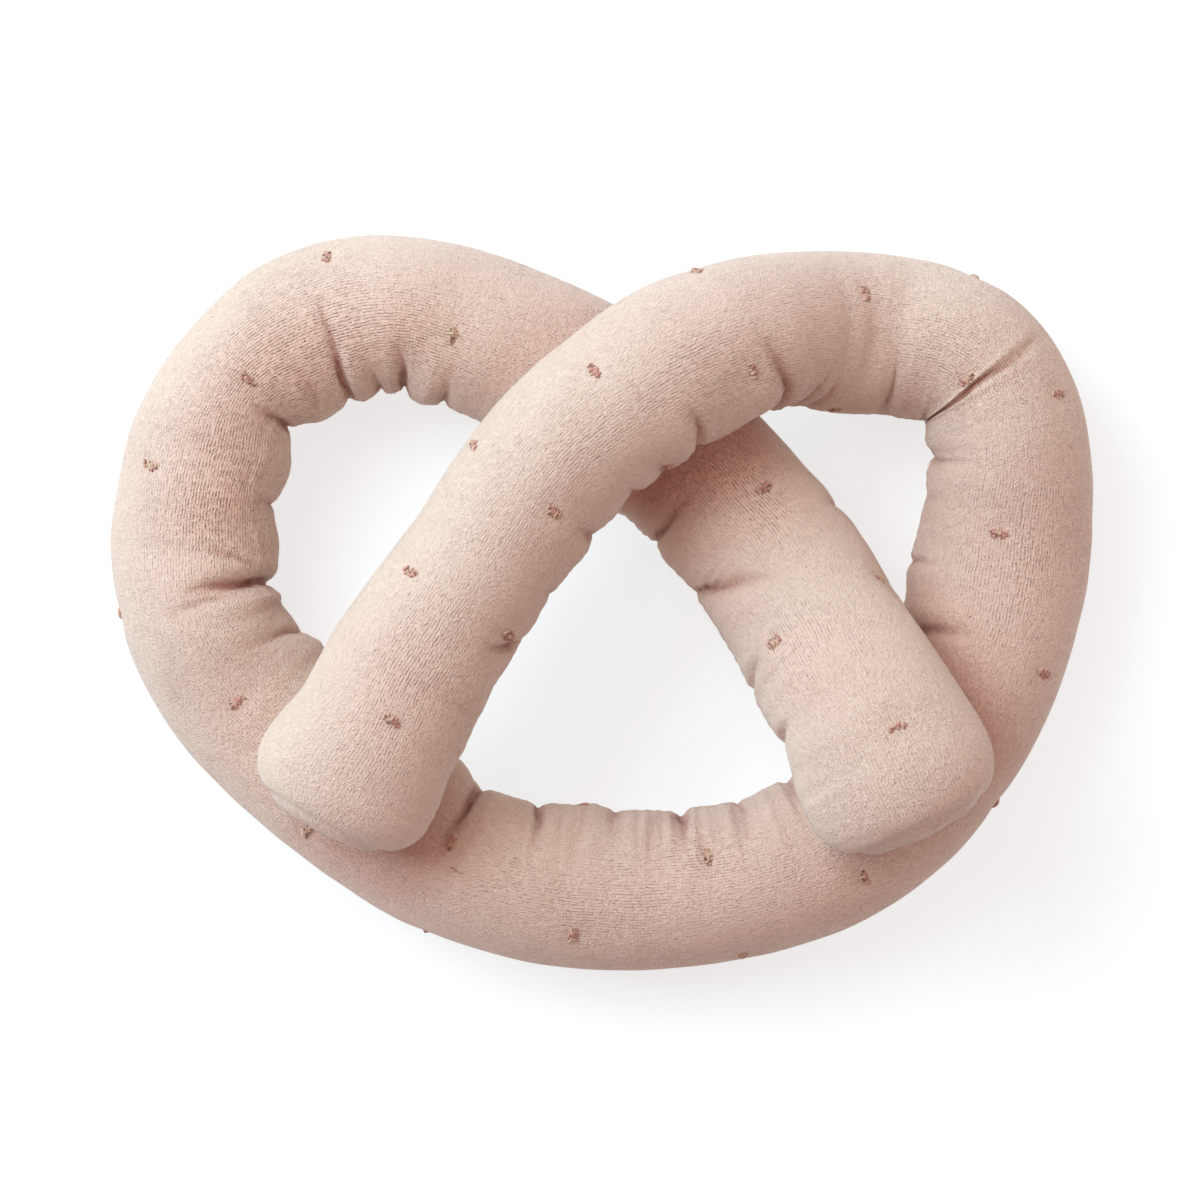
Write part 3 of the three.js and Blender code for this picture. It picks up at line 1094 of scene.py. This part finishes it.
@dataclass
class StuffedTube:
    """The knitted tube with its filling.

    Args:
        course: the line of its middle.
        rings: sections of the coarse form that the cloth solver works on.
        around: corners of each of them.
        grid: rings, angles and coordinates of the finished surface, once it is built.
        grid_at: place of each of those rings along the tube.
    """

    course: Course
    rings: int = 480
    around: int = 50
    grid: np.ndarray = field(init=False)
    grid_at: np.ndarray = field(init=False)

    STRAIGHTER = 0.45  # share of its bends that the knit doesn't remember
    PINCHED_DEPTH = 5.0  # depth from which a fold is held as firmly as any
    SHADED_DEPTH = 3.5  # depth from which a fold has its full painted warm shade
    FOLD_SHADE = 0.7  # share of the painted warm shade in such a fold
    SPOT_REACH = 2  # corners to each side over which a dot's directions are taken
    CLOSE_AT_FOLDS = 7.0  # distance from a fold over which the rings lie closer together
    CLOSE_AT_TIPS = 14.0  # the same at the tips
    DEPTH_WEIGHT = 0.25  # how much a fold's depth counts in that

    def build(self) -> bpy.types.Object:
        """Builds the finished piece.

        Returns:
            The object, with the knit's coordinates and masks on its mesh.
        """
        coarse_at = self.places()
        contact = Contact(self.course)
        grid = between_round(between(self.settled(coarse_at, contact)))
        at = between(coarse_at[:, None])[:, 0]
        around = 2 * self.around
        angles = np.arange(around) * 360 / around
        relief = Relief()
        grid = contact.press(relief.apply(grid, at, angles), at)
        faces = tube_faces(len(at), around)
        obj = make_object("knit_tube", closed_corners(grid, self.tips()), faces)
        self.lay_knit(obj, at, around)
        folds = np.clip(fold_depth(at, angles, FOLDS) / self.SHADED_DEPTH, 0, 1)
        # Painted warm shade where another length lies close over the knit, and in the folds
        painted_warm_shade = contact.painted_warm_shade(grid, at, angles)
        for name, values in (
            ("crease", np.clip(relief.creases(at, angles) / relief.crease_most, 0, 1)),
            ("ribbed_and_bounce", ribbed_and_bounce(at, angles)),
            ("painted_warm_shade", np.maximum(painted_warm_shade, self.FOLD_SHADE * folds)),
        ):
            attribute = obj.data.attributes.new(name, "FLOAT", "POINT")
            attribute.data.foreach_set("value", np.concatenate([[0], values.ravel(), [0]]))
        self.grid, self.grid_at = grid, at
        log.info("tube: %d faces", len(faces))
        return obj

    def tips(self) -> np.ndarray:
        """The two points in which the tube's ends close."""
        return self.course.sections(np.array([0.0, self.course.length])).middle

    def places(self) -> np.ndarray:
        """Places of the coarse rings along the tube, closer together at folds and tips.

        Returns:
            The places, evenly spaced in the running sum of how close together they lie:
            1 on the open tube, and bell curves added to it at the folds and tips.
        """
        fine = np.linspace(0, self.course.length, 4000)
        close = np.ones_like(fine)
        for fold in FOLDS + PUCKERS:
            weight = (self.DEPTH_WEIGHT * fold.depth) ** 0.5
            close += weight * bell((fine - fold.at) / self.CLOSE_AT_FOLDS)
        close += bell(np.minimum(fine, self.course.length - fine) / self.CLOSE_AT_TIPS)
        share = np.cumsum(close)
        share = (share - share[0]) / (share[-1] - share[0])
        return np.interp(np.arange(1, self.rings + 1) / (self.rings + 1), share, fine)

    def settled(self, at: np.ndarray, contact: Contact) -> np.ndarray:
        """The coarse tube, pressed in at its folds and then settled as cloth.

        Args:
            at: place of each ring along the tube.
            contact: what keeps its lengths apart.

        Returns:
            Grid of rings, angles and coordinates.
        """
        angles = np.arange(self.around) * 360 / self.around
        turns = np.radians(angles)
        depth = fold_depth(at, angles, FOLDS + PUCKERS)
        folded = contact.press(self.course.sections(at).skin(turns, depth), at)
        slack = self.course.sections(at, straighten=self.STRAIGHTER).skin(turns)
        pinched = (np.maximum(depth, 0) / self.PINCHED_DEPTH).ravel()
        corners = ClothRun().settle(
            closed_corners(folded, self.tips()),
            closed_corners(slack, slack[[0, -1]].mean(axis=1)),
            np.concatenate([[0], pinched, [0]]),
            self.rings,
            tube_faces(self.rings, self.around),
        )
        return corners[1:-1].reshape(folded.shape)

    def lay_knit(self, obj: bpy.types.Object, at: np.ndarray, around: int) -> None:
        """Writes the knit's own coordinates: stitches along the tube and ribs round it.

        Args:
            obj: the tube's object.
            at: place of each ring along the tube.
            around: corners of each ring.
        """
        stitches = at / STITCH
        ribs = np.arange(around + 1) * WALES_AROUND / around
        middles = (ribs[:-1] + ribs[1:]) / 2
        spans = len(at) - 1
        near, far = np.repeat(stitches[:-1], around), np.repeat(stitches[1:], around)
        left, right = np.tile(ribs[:-1], spans), np.tile(ribs[1:], spans)
        quads = np.stack([near, left, near, right, far, right, far, left], axis=1)
        start, end = np.zeros(around), np.full(around, self.course.length / STITCH)
        first, last = np.full(around, stitches[0]), np.full(around, stitches[-1])
        tip = np.stack([start, middles, first, ribs[1:], first, ribs[:-1]], axis=1)
        toe = np.stack([last, ribs[:-1], last, ribs[1:], end, middles], axis=1)
        flat = np.concatenate([quads.ravel(), tip.ravel(), toe.ravel()])
        layer = obj.data.uv_layers.new(name="knit")
        layer.uv.foreach_set("vector", flat.astype(np.float32))

    def spot(self, dot: Dot) -> tuple[np.ndarray, np.ndarray]:
        """Finds a dot's place on the finished surface.

        Args:
            dot: the dot.

        Returns:
            The point, and as rows the directions round the tube, along it and outward.
        """
        ring = int(np.argmin(np.abs(self.grid_at - dot.at)))
        count = self.grid.shape[1]
        k = round((dot.angle % 360) / 360 * count) % count
        reach = self.SPOT_REACH
        further = min(ring + reach, len(self.grid) - 1)
        along = unit(self.grid[further, k] - self.grid[ring - reach, k])
        around = unit(self.grid[ring, (k + reach) % count] - self.grid[ring, k - reach])
        outward = unit(np.cross(around, along))
        return self.grid[ring, k], np.stack([np.cross(along, outward), along, outward])


class Graph:
    """Adds and joins shader nodes in a node tree. Its values are outputs or plain numbers."""

    def __init__(self, tree: bpy.types.NodeTree) -> None:
        """Works in that tree."""
        self.tree = tree

    def add(self, kind: str, **settings: object) -> bpy.types.Node:
        """Adds a node.

        Args:
            kind: its type.
            settings: what is set on it, by name.

        Returns:
            The node.
        """
        node = self.tree.nodes.new(kind)
        for name, value in settings.items():
            setattr(node, name, value)
        return node

    def feed(self, socket: bpy.types.NodeSocket, value: object) -> None:
        """Joins an output to a socket, or sets a plain value on it.

        Args:
            socket: the input.
            value: the output or the plain value.
        """
        if isinstance(value, bpy.types.NodeSocket):
            self.tree.links.new(value, socket)
        else:
            socket.default_value = value

    def attribute(self, name: str) -> bpy.types.NodeSocket:
        """Value of a point attribute of the mesh."""
        return self.add("ShaderNodeAttribute", attribute_name=name).outputs["Fac"]

    def math(self, operation: str, *values: object, clamp: bool = False) -> bpy.types.NodeSocket:
        """Adds a math node.

        Args:
            operation: its operation.
            values: what it works on.
            clamp: whether its result is kept from 0 to 1.

        Returns:
            The result.
        """
        node = self.add("ShaderNodeMath", operation=operation, use_clamp=clamp)
        for socket, value in zip(node.inputs, values):
            self.feed(socket, value)
        return node.outputs[0]

    def plus(self, first: object, second: object, clamp: bool = False) -> bpy.types.NodeSocket:
        """Sum of two values, kept from 0 to 1 where clamp is given."""
        return self.math("ADD", first, second, clamp=clamp)

    def minus(self, first: object, second: object, clamp: bool = False) -> bpy.types.NodeSocket:
        """The first value less the second, kept from 0 to 1 where clamp is given."""
        return self.math("SUBTRACT", first, second, clamp=clamp)

    def times(self, first: object, second: object) -> bpy.types.NodeSocket:
        """Product of two values."""
        return self.math("MULTIPLY", first, second)

    def mix(self, share: object, first: object, second: object) -> bpy.types.NodeSocket:
        """Adds a mix of two colours.

        Args:
            share: share of the second colour.
            first: the first colour.
            second: the second colour.

        Returns:
            The mixed colour.
        """
        node = self.add("ShaderNodeMix", data_type="RGBA")
        self.feed(node.inputs[0], share)
        self.feed(node.inputs[6], first)
        self.feed(node.inputs[7], second)
        return node.outputs[2]

    def noise(
        self, place: object, scale: float, detail: float = 2.0, rough: float = 0.5
    ) -> bpy.types.NodeSocket:
        """Adds grey noise.

        Args:
            place: the coordinates that it is read at.
            scale: how many of its grains lie in one unit of them.
            detail: how many finer noises are added to it.
            rough: strength of each finer noise against the one before.

        Returns:
            The noise, mostly from 0.3 to 0.7.
        """
        node = self.add("ShaderNodeTexNoise")
        self.feed(node.inputs["Vector"], place)
        node.inputs["Scale"].default_value = scale
        node.inputs["Detail"].default_value = detail
        node.inputs["Roughness"].default_value = rough
        return node.outputs[0]

    def span(
        self, value: object, low: float, high: float, to_low: float = 0.0, to_high: float = 1.0
    ) -> bpy.types.NodeSocket:
        """Moves a value from one span to another and keeps it within that.

        Args:
            value: the value.
            low: what becomes to_low.
            high: what becomes to_high.
            to_low: the new span's start.
            to_high: the new span's end.

        Returns:
            The moved value.
        """
        node = self.add("ShaderNodeMapRange")
        for socket, given in zip(node.inputs, (value, low, high, to_low, to_high)):
            self.feed(socket, given)
        return node.outputs[0]


def knit_group() -> bpy.types.ShaderNodeTree:
    """Node group of a fine rib knit, from coordinates in stitches and ribs.

    Each rib is a round-backed row of slanting stitches, a sine wave along it. Where the
    knit is felted by wear the ribs fade to an even height.

    Returns:
        A group with outputs Height, from 0 in the furrows to 1 on the ribs, and Rib, how
        far a point lies up the side of its rib.
    """
    group = bpy.data.node_groups.new("fine_rib_knit", "ShaderNodeTree")
    for name, way in (
        ("Stitches", "INPUT"),
        ("Ribs", "INPUT"),
        ("Wear", "INPUT"),
        ("Height", "OUTPUT"),
        ("Rib", "OUTPUT"),
    ):
        group.interface.new_socket(name, in_out=way, socket_type="NodeSocketFloat")
    graph = Graph(group)
    given = graph.add("NodeGroupInput")
    result = graph.add("NodeGroupOutput")
    within = graph.math("FRACT", given.outputs["Ribs"])
    side = graph.math("ABSOLUTE", graph.times(graph.minus(within, 0.5), 2.0))
    fall = graph.math("POWER", side, RIB_ROUNDNESS)
    back = graph.math("SQRT", graph.minus(1.0, fall, clamp=True))
    slanted = graph.plus(given.outputs["Stitches"], graph.times(side, STITCH_SLANT))
    wave = graph.math("SINE", graph.times(slanted, 2 * np.pi))
    stitch = graph.span(wave, -1.0, 1.0, to_low=STITCH_LOW)
    clear = given.outputs["Wear"]
    ribs = graph.times(graph.times(back, stitch), clear)
    felt = graph.times(graph.minus(1.0, clear), FELT_HEIGHT)
    graph.feed(result.inputs["Height"], graph.plus(ribs, felt))
    graph.feed(result.inputs["Rib"], back)
    return group


@dataclass(frozen=True)
class KnitFinish:
    """Colour and surface of the knit.

    Args:
        pale: colour of the ribs' backs.
        deep: painted shade down in the furrows, and the darker grain of the fibres.
        blush: warmer tint that drifts over the cloth.
        bounce_light_tint: painted warm bounce light, lighter and rosier, where the ribs stand
            open.
        valley: painted shade at the bottom of a crease.
        warm_shade_color: painted warm shade in the folds and where another length lies close over
            the knit.
        fleck: colour of the small loose tufts.
        sway: how far the ribs wander sideways, in ribs.
        fray: how far their edges fray, in ribs.
        rib_depth: height of the ribs, in metres.
        streak_depth: height of the felted streaks along them, in metres.
        fluff_depth: height of the loose fibres, in metres.
    """

    pale: Color = (0.70, 0.54, 0.435, 1)
    deep: Color = (0.40, 0.22, 0.15, 1)
    blush: Color = (0.69, 0.51, 0.415, 1)
    bounce_light_tint: Color = (0.82, 0.555, 0.44, 1)
    valley: Color = (0.38, 0.13, 0.085, 1)
    warm_shade_color: Color = (0.58, 0.255, 0.19, 1)
    fleck: Color = (0.90, 0.76, 0.64, 1)
    sway: float = 1.3
    fray: float = 0.9
    rib_depth: float = 0.00055
    streak_depth: float = 0.00045
    fluff_depth: float = 0.00085

    def build(self) -> bpy.types.Material:
        """Builds the material.

        Returns:
            The material, which reads the knit's coordinates and the three masks.
        """
        material = bpy.data.materials.new("rib_knit")
        material.use_nodes = True
        graph = Graph(material.node_tree)
        shader = material.node_tree.nodes["Principled BSDF"]
        place = graph.add("ShaderNodeTexCoord").outputs["Object"]
        knit = graph.add("ShaderNodeUVMap", uv_map="knit")
        apart = graph.add("ShaderNodeSeparateXYZ")
        graph.feed(apart.inputs[0], knit.outputs[0])
        stitches, ribs = apart.outputs[0], apart.outputs[1]
        crease = graph.attribute("crease")
        clear = graph.attribute("ribbed_and_bounce")
        close = graph.attribute("painted_warm_shade")

        # How clearly the ribs stand out: in patches, and broken by loose fibres
        patches = graph.noise(place, scale=24, detail=3.0, rough=0.6)
        kept = graph.span(patches, 0.42, 0.62, to_low=0.2, to_high=0.5)
        kept = graph.plus(graph.plus(kept, clear), crease, clamp=True)
        breaks = graph.span(graph.noise(place, scale=420, detail=1.0), 0.34, 0.58, to_low=0.2)
        wear = graph.times(kept, breaks)
        wander = graph.times(graph.minus(graph.noise(place, scale=45), 0.5), self.sway)
        edges = graph.times(graph.minus(graph.noise(place, scale=300), 0.5), self.fray)
        group = graph.add("ShaderNodeGroup", node_tree=knit_group())
        graph.feed(group.inputs["Stitches"], stitches)
        graph.feed(group.inputs["Ribs"], graph.plus(ribs, graph.plus(wander, edges)))
        graph.feed(group.inputs["Wear"], wear)

        # Felted streaks lie along the ribs: noise on the straightened tube, drawn out to double
        turn = graph.times(ribs, 2 * np.pi / WALES_AROUND)
        lying = graph.add("ShaderNodeCombineXYZ")
        graph.feed(lying.inputs[0], graph.times(stitches, 0.5 * STITCH))
        graph.feed(lying.inputs[1], graph.times(graph.math("COSINE", turn), TUBE_RADIUS))
        graph.feed(lying.inputs[2], graph.times(graph.math("SINE", turn), TUBE_RADIUS))
        streaks = graph.noise(lying.outputs[0], scale=0.62, rough=0.55)
        tufts = graph.noise(lying.outputs[0], scale=1.1, detail=1.0)
        tufts = graph.span(tufts, 0.55, 0.70, to_high=0.26)
        fluff = graph.noise(place, scale=1250, rough=0.6)
        pills = graph.noise(place, scale=620, detail=1.0)

        # Colour: the body's tints with painted warm bounce light and painted warm shade, painted
        # shade between ribs and in the low spots of the fibres, light tufts, and painted shade in
        # the creases
        drift = graph.span(graph.noise(place, scale=9), 0.4, 0.62)
        body = graph.mix(drift, self.pale, self.blush)
        # Painted warm bounce light, lighter and rosier, where the ribs stand open
        body = graph.mix(graph.times(clear, 0.85), body, self.bounce_light_tint)
        # Painted warm shade in the folds and in the nooks beside the crossings
        body = graph.mix(graph.times(close, 0.9), body, self.warm_shade_color)
        # Painted shade between the ribs, and darker grain where the streaks and fluff lie low:
        # random tone with painted shade in those low spots
        furrow = graph.times(graph.minus(1.0, group.outputs["Rib"]), wear)
        hollows = graph.span(streaks, 0.54, 0.34, to_high=0.13)
        speckle = graph.span(fluff, 0.54, 0.34, to_high=0.2)
        grain = graph.plus(hollows, speckle)
        shade = graph.plus(graph.times(furrow, 1.35), grain, clamp=True)
        knitted = graph.mix(tufts, graph.mix(shade, body, self.deep), self.fleck)
        # Painted shade darkens the crease lines
        color = graph.mix(graph.times(crease, 0.85), knitted, self.valley)
        graph.feed(shader.inputs["Base Color"], color)
        shader.inputs["Roughness"].default_value = 0.92
        shader.inputs["Specular IOR Level"].default_value = 0.25
        shader.inputs["Sheen Weight"].default_value = 0.35
        shader.inputs["Sheen Roughness"].default_value = 0.5
        shader.inputs["Sheen Tint"].default_value = (1.0, 0.96, 0.93, 1)

        normal = None
        for height, depth in (
            (fluff, self.fluff_depth),
            (pills, 0.45 * self.fluff_depth),
            (streaks, self.streak_depth),
            (tufts, 0.6 * self.streak_depth),
            (group.outputs["Height"], self.rib_depth),
        ):
            bump = graph.add("ShaderNodeBump")
            bump.inputs["Strength"].default_value = 1.0
            bump.inputs["Distance"].default_value = depth
            graph.feed(bump.inputs["Height"], height)
            if normal:
                graph.feed(bump.inputs["Normal"], normal)
            normal = bump.outputs[0]
        graph.feed(shader.inputs["Normal"], normal)
        return material


@dataclass(frozen=True)
class ThreadFinish:
    """Colour and surface of the embroidery thread.

    Args:
        tan: colour of some of the thread.
        rose: colour of the rest.
        dark: colour down in its twist.
        twist_depth: height of the twist, in metres.
    """

    tan: Color = (0.56, 0.38, 0.26, 1)
    rose: Color = (0.52, 0.25, 0.20, 1)
    dark: Color = (0.15, 0.06, 0.045, 1)
    twist_depth: float = 0.0002

    def build(self) -> bpy.types.Material:
        """Builds the material.

        Returns:
            The material, on Object coordinates.
        """
        material = bpy.data.materials.new("dot_thread")
        material.use_nodes = True
        graph = Graph(material.node_tree)
        shader = material.node_tree.nodes["Principled BSDF"]
        place = graph.add("ShaderNodeTexCoord").outputs["Object"]
        hue = graph.span(graph.noise(place, scale=330, detail=1.0), 0.42, 0.58)
        twist = graph.span(graph.noise(place, scale=700), 0.5, 0.68)
        body = graph.mix(hue, self.tan, self.rose)
        graph.feed(shader.inputs["Base Color"], graph.mix(twist, body, self.dark))
        shader.inputs["Roughness"].default_value = 0.8
        shader.inputs["Sheen Weight"].default_value = 0.2
        bump = graph.add("ShaderNodeBump")
        bump.inputs["Distance"].default_value = self.twist_depth
        graph.feed(bump.inputs["Height"], twist)
        graph.feed(shader.inputs["Normal"], bump.outputs[0])
        return material


@dataclass(frozen=True)
class Embroidery:
    """The dots: little blocks of short stitches that lie along the ribs, side by side.

    Args:
        stitches: stitches in a block.
        pitch: distance between two of them, round the tube.
        reach: length of a stitch in the middle of the block.
        rounding: share of that length that a stitch at the block's edge lacks.
        thick: radius of the thread.
        arch: height of a stitch's middle over its ends.
        sunk: how deep its ends lie in the knit.
        slant: most that a stitch's ends lie apart round the tube.
    """

    stitches: int = 8
    pitch: float = 0.95
    reach: float = 5.2
    rounding: float = 0.42
    thick: float = 0.8
    arch: float = 0.8
    sunk: float = 0.35
    slant: float = 1.1

    ROUND = 7  # corners round the thread
    ALONG = 9  # rings along a stitch
    LENGTHS = (0.62, 1.12)  # least and greatest length of a stitch, against its usual one
    ARCHES = (0.5, 1.3)  # least and greatest height of its arch, against the usual one
    SHIFT = 0.7  # most that it lies out of line along the tube
    STRAY = 0.3  # most that it lies out of line round the tube
    LOOSE_SIZE = (0.5, 4.6, 0.42)  # the stray stitch: half its slant and length, and radius
    LOOSE_HEIGHTS = (0.15, 0.45)  # height of its middle over the knit, and its fall from there
    PRESSED = 0.02  # share that is left of what would stand below the surface

    def thread(self, line: np.ndarray, thick: np.ndarray) -> np.ndarray:
        """Corners of a short thread: circles round its middle, and a tip at each end.

        Args:
            line: points of its middle, each as across, along and out from a dot's place.
            thick: its radius at each of them.

        Returns:
            The corners in the order of tube_faces.
        """
        turns = np.arange(self.ROUND) * 2 * np.pi / self.ROUND
        circle = np.stack([np.cos(turns), np.zeros(self.ROUND), np.sin(turns)], axis=1)
        rings = line[:, None] + thick[:, None, None] * circle
        return closed_corners(rings, rings.mean(axis=1)[[0, -1]])

    def stitch(self, rng: np.random.Generator, index: int) -> np.ndarray:
        """Corners of one stitch of a block, each a little different from the others.

        Its height is an arch that falls as the distance from its middle to the power 2.6.

        Args:
            rng: source of the differences.
            index: its number in the block.

        Returns:
            The corners, as across, along and out from the dot's place.
        """
        t = np.linspace(-1, 1, self.ALONG)
        middle = (index - (self.stitches - 1) / 2) * self.pitch
        edge = abs(middle / (0.5 * self.stitches * self.pitch))
        length = self.reach * (1 - self.rounding * edge**2) * rng.uniform(*self.LENGTHS) / 2
        slant = self.slant * rng.uniform(-1, 1) / 2
        shift = rng.uniform(-self.SHIFT, self.SHIFT)
        across = middle + slant * t + rng.uniform(-self.STRAY, self.STRAY)
        along = shift + length * t
        out = self.arch * rng.uniform(*self.ARCHES) * (1 - np.abs(t) ** 2.6) - self.sunk
        swell = self.thick * (0.55 + 0.45 * np.sqrt(np.maximum(0, 1 - t**2)))
        return self.thread(np.stack([across, along, out], axis=1), swell)

    def loose_thread(self) -> np.ndarray:
        """Corners of the single stray stitch, as across, along and out from its place.

        Returns:
            The corners of an arch that falls as the square of the distance from its middle.
        """
        t = np.linspace(-1, 1, self.ALONG)
        slant, length, thick = self.LOOSE_SIZE
        height, fall = self.LOOSE_HEIGHTS
        line = np.stack([slant * t, length * t, height - fall * t**2], axis=1)
        return self.thread(line, thick * np.sqrt(np.maximum(0.05, 1 - t**2)))

    def build(self, tube: StuffedTube) -> bpy.types.Object:
        """Builds all the dots as one joined mesh.

        Args:
            tube: the finished tube that they lie on.

        Returns:
            The object.
        """
        rng = np.random.default_rng(7)
        threads = []
        for dot in all_dots():
            place, axes = tube.spot(dot)
            threads += [place + self.stitch(rng, i) @ axes for i in range(self.stitches)]
        place, axes = tube.spot(STRAY_STITCH)
        threads.append(place + self.loose_thread() @ axes)
        strip = tube_faces(self.ALONG, self.ROUND)
        faces = [
            tuple(number * len(threads[0]) + corner for corner in face)
            for number in range(len(threads))
            for face in strip
        ]
        points = np.vstack(threads)
        below = points[:, 2] < 0
        points[below, 2] *= self.PRESSED  # the cushion's weight presses these flat
        obj = make_object("dots", points, faces)
        obj.data.materials.append(ThreadFinish().build())
        log.info("dots: %d, %d faces", len(all_dots()), len(faces))
        return obj


class Light(NamedTuple):
    """A soft square light aimed at the cushion: its place, side in metres, watts and colour."""

    name: str
    place: tuple[float, float, float]
    size: float
    power: float
    color: tuple[float, float, float]


class Studio:
    """Floor, soft light and the camera straight above, in metres."""

    CAMERA_HEIGHT = 2.2
    CAMERA_PLACE = (-0.0008, 0.0013)
    LENS = 141.98  # in millimetres, as the sensor is
    SENSOR = 36.0
    FLOOR_SIDE = 8.0
    FLOOR_COLOR = (0.345, 0.37, 0.375, 1)
    FLOOR_GLOW = (0.97, 0.985, 1.0, 1)
    FLOOR_GLOW_STRENGTH = 0.68
    WARM_ROOM = (1.0, 0.69, 0.646, 1)
    WARM_STRENGTH = 0.468
    PALE_ROOM = (0.90, 0.92, 0.94, 1)
    LIGHTS = (
        Light("key", (-2.377, 1.604, 2.008), 2.8, 178, (0.57, 0.867, 1.0)),
        Light("fill", (1.709, 0.622, 1.050), 0.9, 8.7, (0.87, 1.0, 0.98)),
        Light("top", (-1.2, 1.2, 2.6), 2.0, 34, (1.0, 0.82, 0.765)),
    )

    def camera(self) -> None:
        """Places the camera, looking straight down with +Y to the top of the picture."""
        data = bpy.data.cameras.new("camera")
        data.lens = self.LENS
        data.sensor_width = self.SENSOR
        data.clip_end = 20
        obj = bpy.data.objects.new("camera", data)
        obj.location = (*self.CAMERA_PLACE, self.CAMERA_HEIGHT)
        bpy.context.scene.collection.objects.link(obj)
        bpy.context.scene.camera = obj

    def floor(self) -> None:
        """Lays a wide plain pale floor, which glows a little as bright paper does."""
        corners = np.array([[-1, -1, 0], [1, -1, 0], [1, 1, 0], [-1, 1, 0]])
        obj = make_object("floor", corners * self.FLOOR_SIDE / 2 / MM, [(0, 1, 2, 3)])
        material = bpy.data.materials.new("floor_paper")
        material.use_nodes = True
        shader = material.node_tree.nodes["Principled BSDF"]
        shader.inputs["Base Color"].default_value = self.FLOOR_COLOR
        shader.inputs["Roughness"].default_value = 0.9
        shader.inputs["Emission Color"].default_value = self.FLOOR_GLOW
        shader.inputs["Emission Strength"].default_value = self.FLOOR_GLOW_STRENGTH
        obj.data.materials.append(material)

    def lights(self) -> None:
        """Hangs a large soft light on the left, and weaker ones opposite and above."""
        for light in self.LIGHTS:
            data = bpy.data.lights.new(light.name, "AREA")
            data.size = light.size
            data.energy = light.power
            data.color = light.color
            obj = bpy.data.objects.new(light.name, data)
            obj.location = light.place
            obj.rotation_euler = Vector(light.place).to_track_quat("Z", "Y").to_euler()
            bpy.context.scene.collection.objects.link(obj)

    def surrounding(self) -> None:
        """Lights the cushion warmly from all round, and looks pale to the camera itself."""
        world = bpy.data.worlds.new("surrounding")
        world.use_nodes = True
        graph = Graph(world.node_tree)
        warm = world.node_tree.nodes["Background"]
        warm.inputs["Color"].default_value = self.WARM_ROOM
        warm.inputs["Strength"].default_value = self.WARM_STRENGTH
        pale = graph.add("ShaderNodeBackground")
        pale.inputs["Color"].default_value = self.PALE_ROOM
        seen = graph.add("ShaderNodeMixShader")
        graph.feed(seen.inputs[0], graph.add("ShaderNodeLightPath").outputs["Is Camera Ray"])
        graph.feed(seen.inputs[1], warm.outputs[0])
        graph.feed(seen.inputs[2], pale.outputs[0])
        graph.feed(world.node_tree.nodes["World Output"].inputs["Surface"], seen.outputs[0])
        bpy.context.scene.world = world
        bpy.context.scene.view_settings.view_transform = "Standard"

    def build(self) -> None:
        """Builds all of the studio."""
        self.camera()
        self.floor()
        self.lights()
        self.surrounding()
        log.info("studio: floor, camera and %d lights", len(self.LIGHTS))


def main() -> None:
    """Builds the scene."""
    logging.basicConfig(level=logging.INFO, format="%(name)s: %(message)s")
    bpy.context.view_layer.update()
    Studio().build()
    course = Course(ROUTE)
    log.info("tube is %.0f mm long", course.length)
    form = StuffedTube(course)
    tube = form.build()
    tube.data.materials.append(KnitFinish().build())
    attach(tube, "root")
    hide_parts("stuffed_tube")
    dots = Embroidery().build(form)
    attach(dots, "root")


if __name__ == "__main__":
    main()
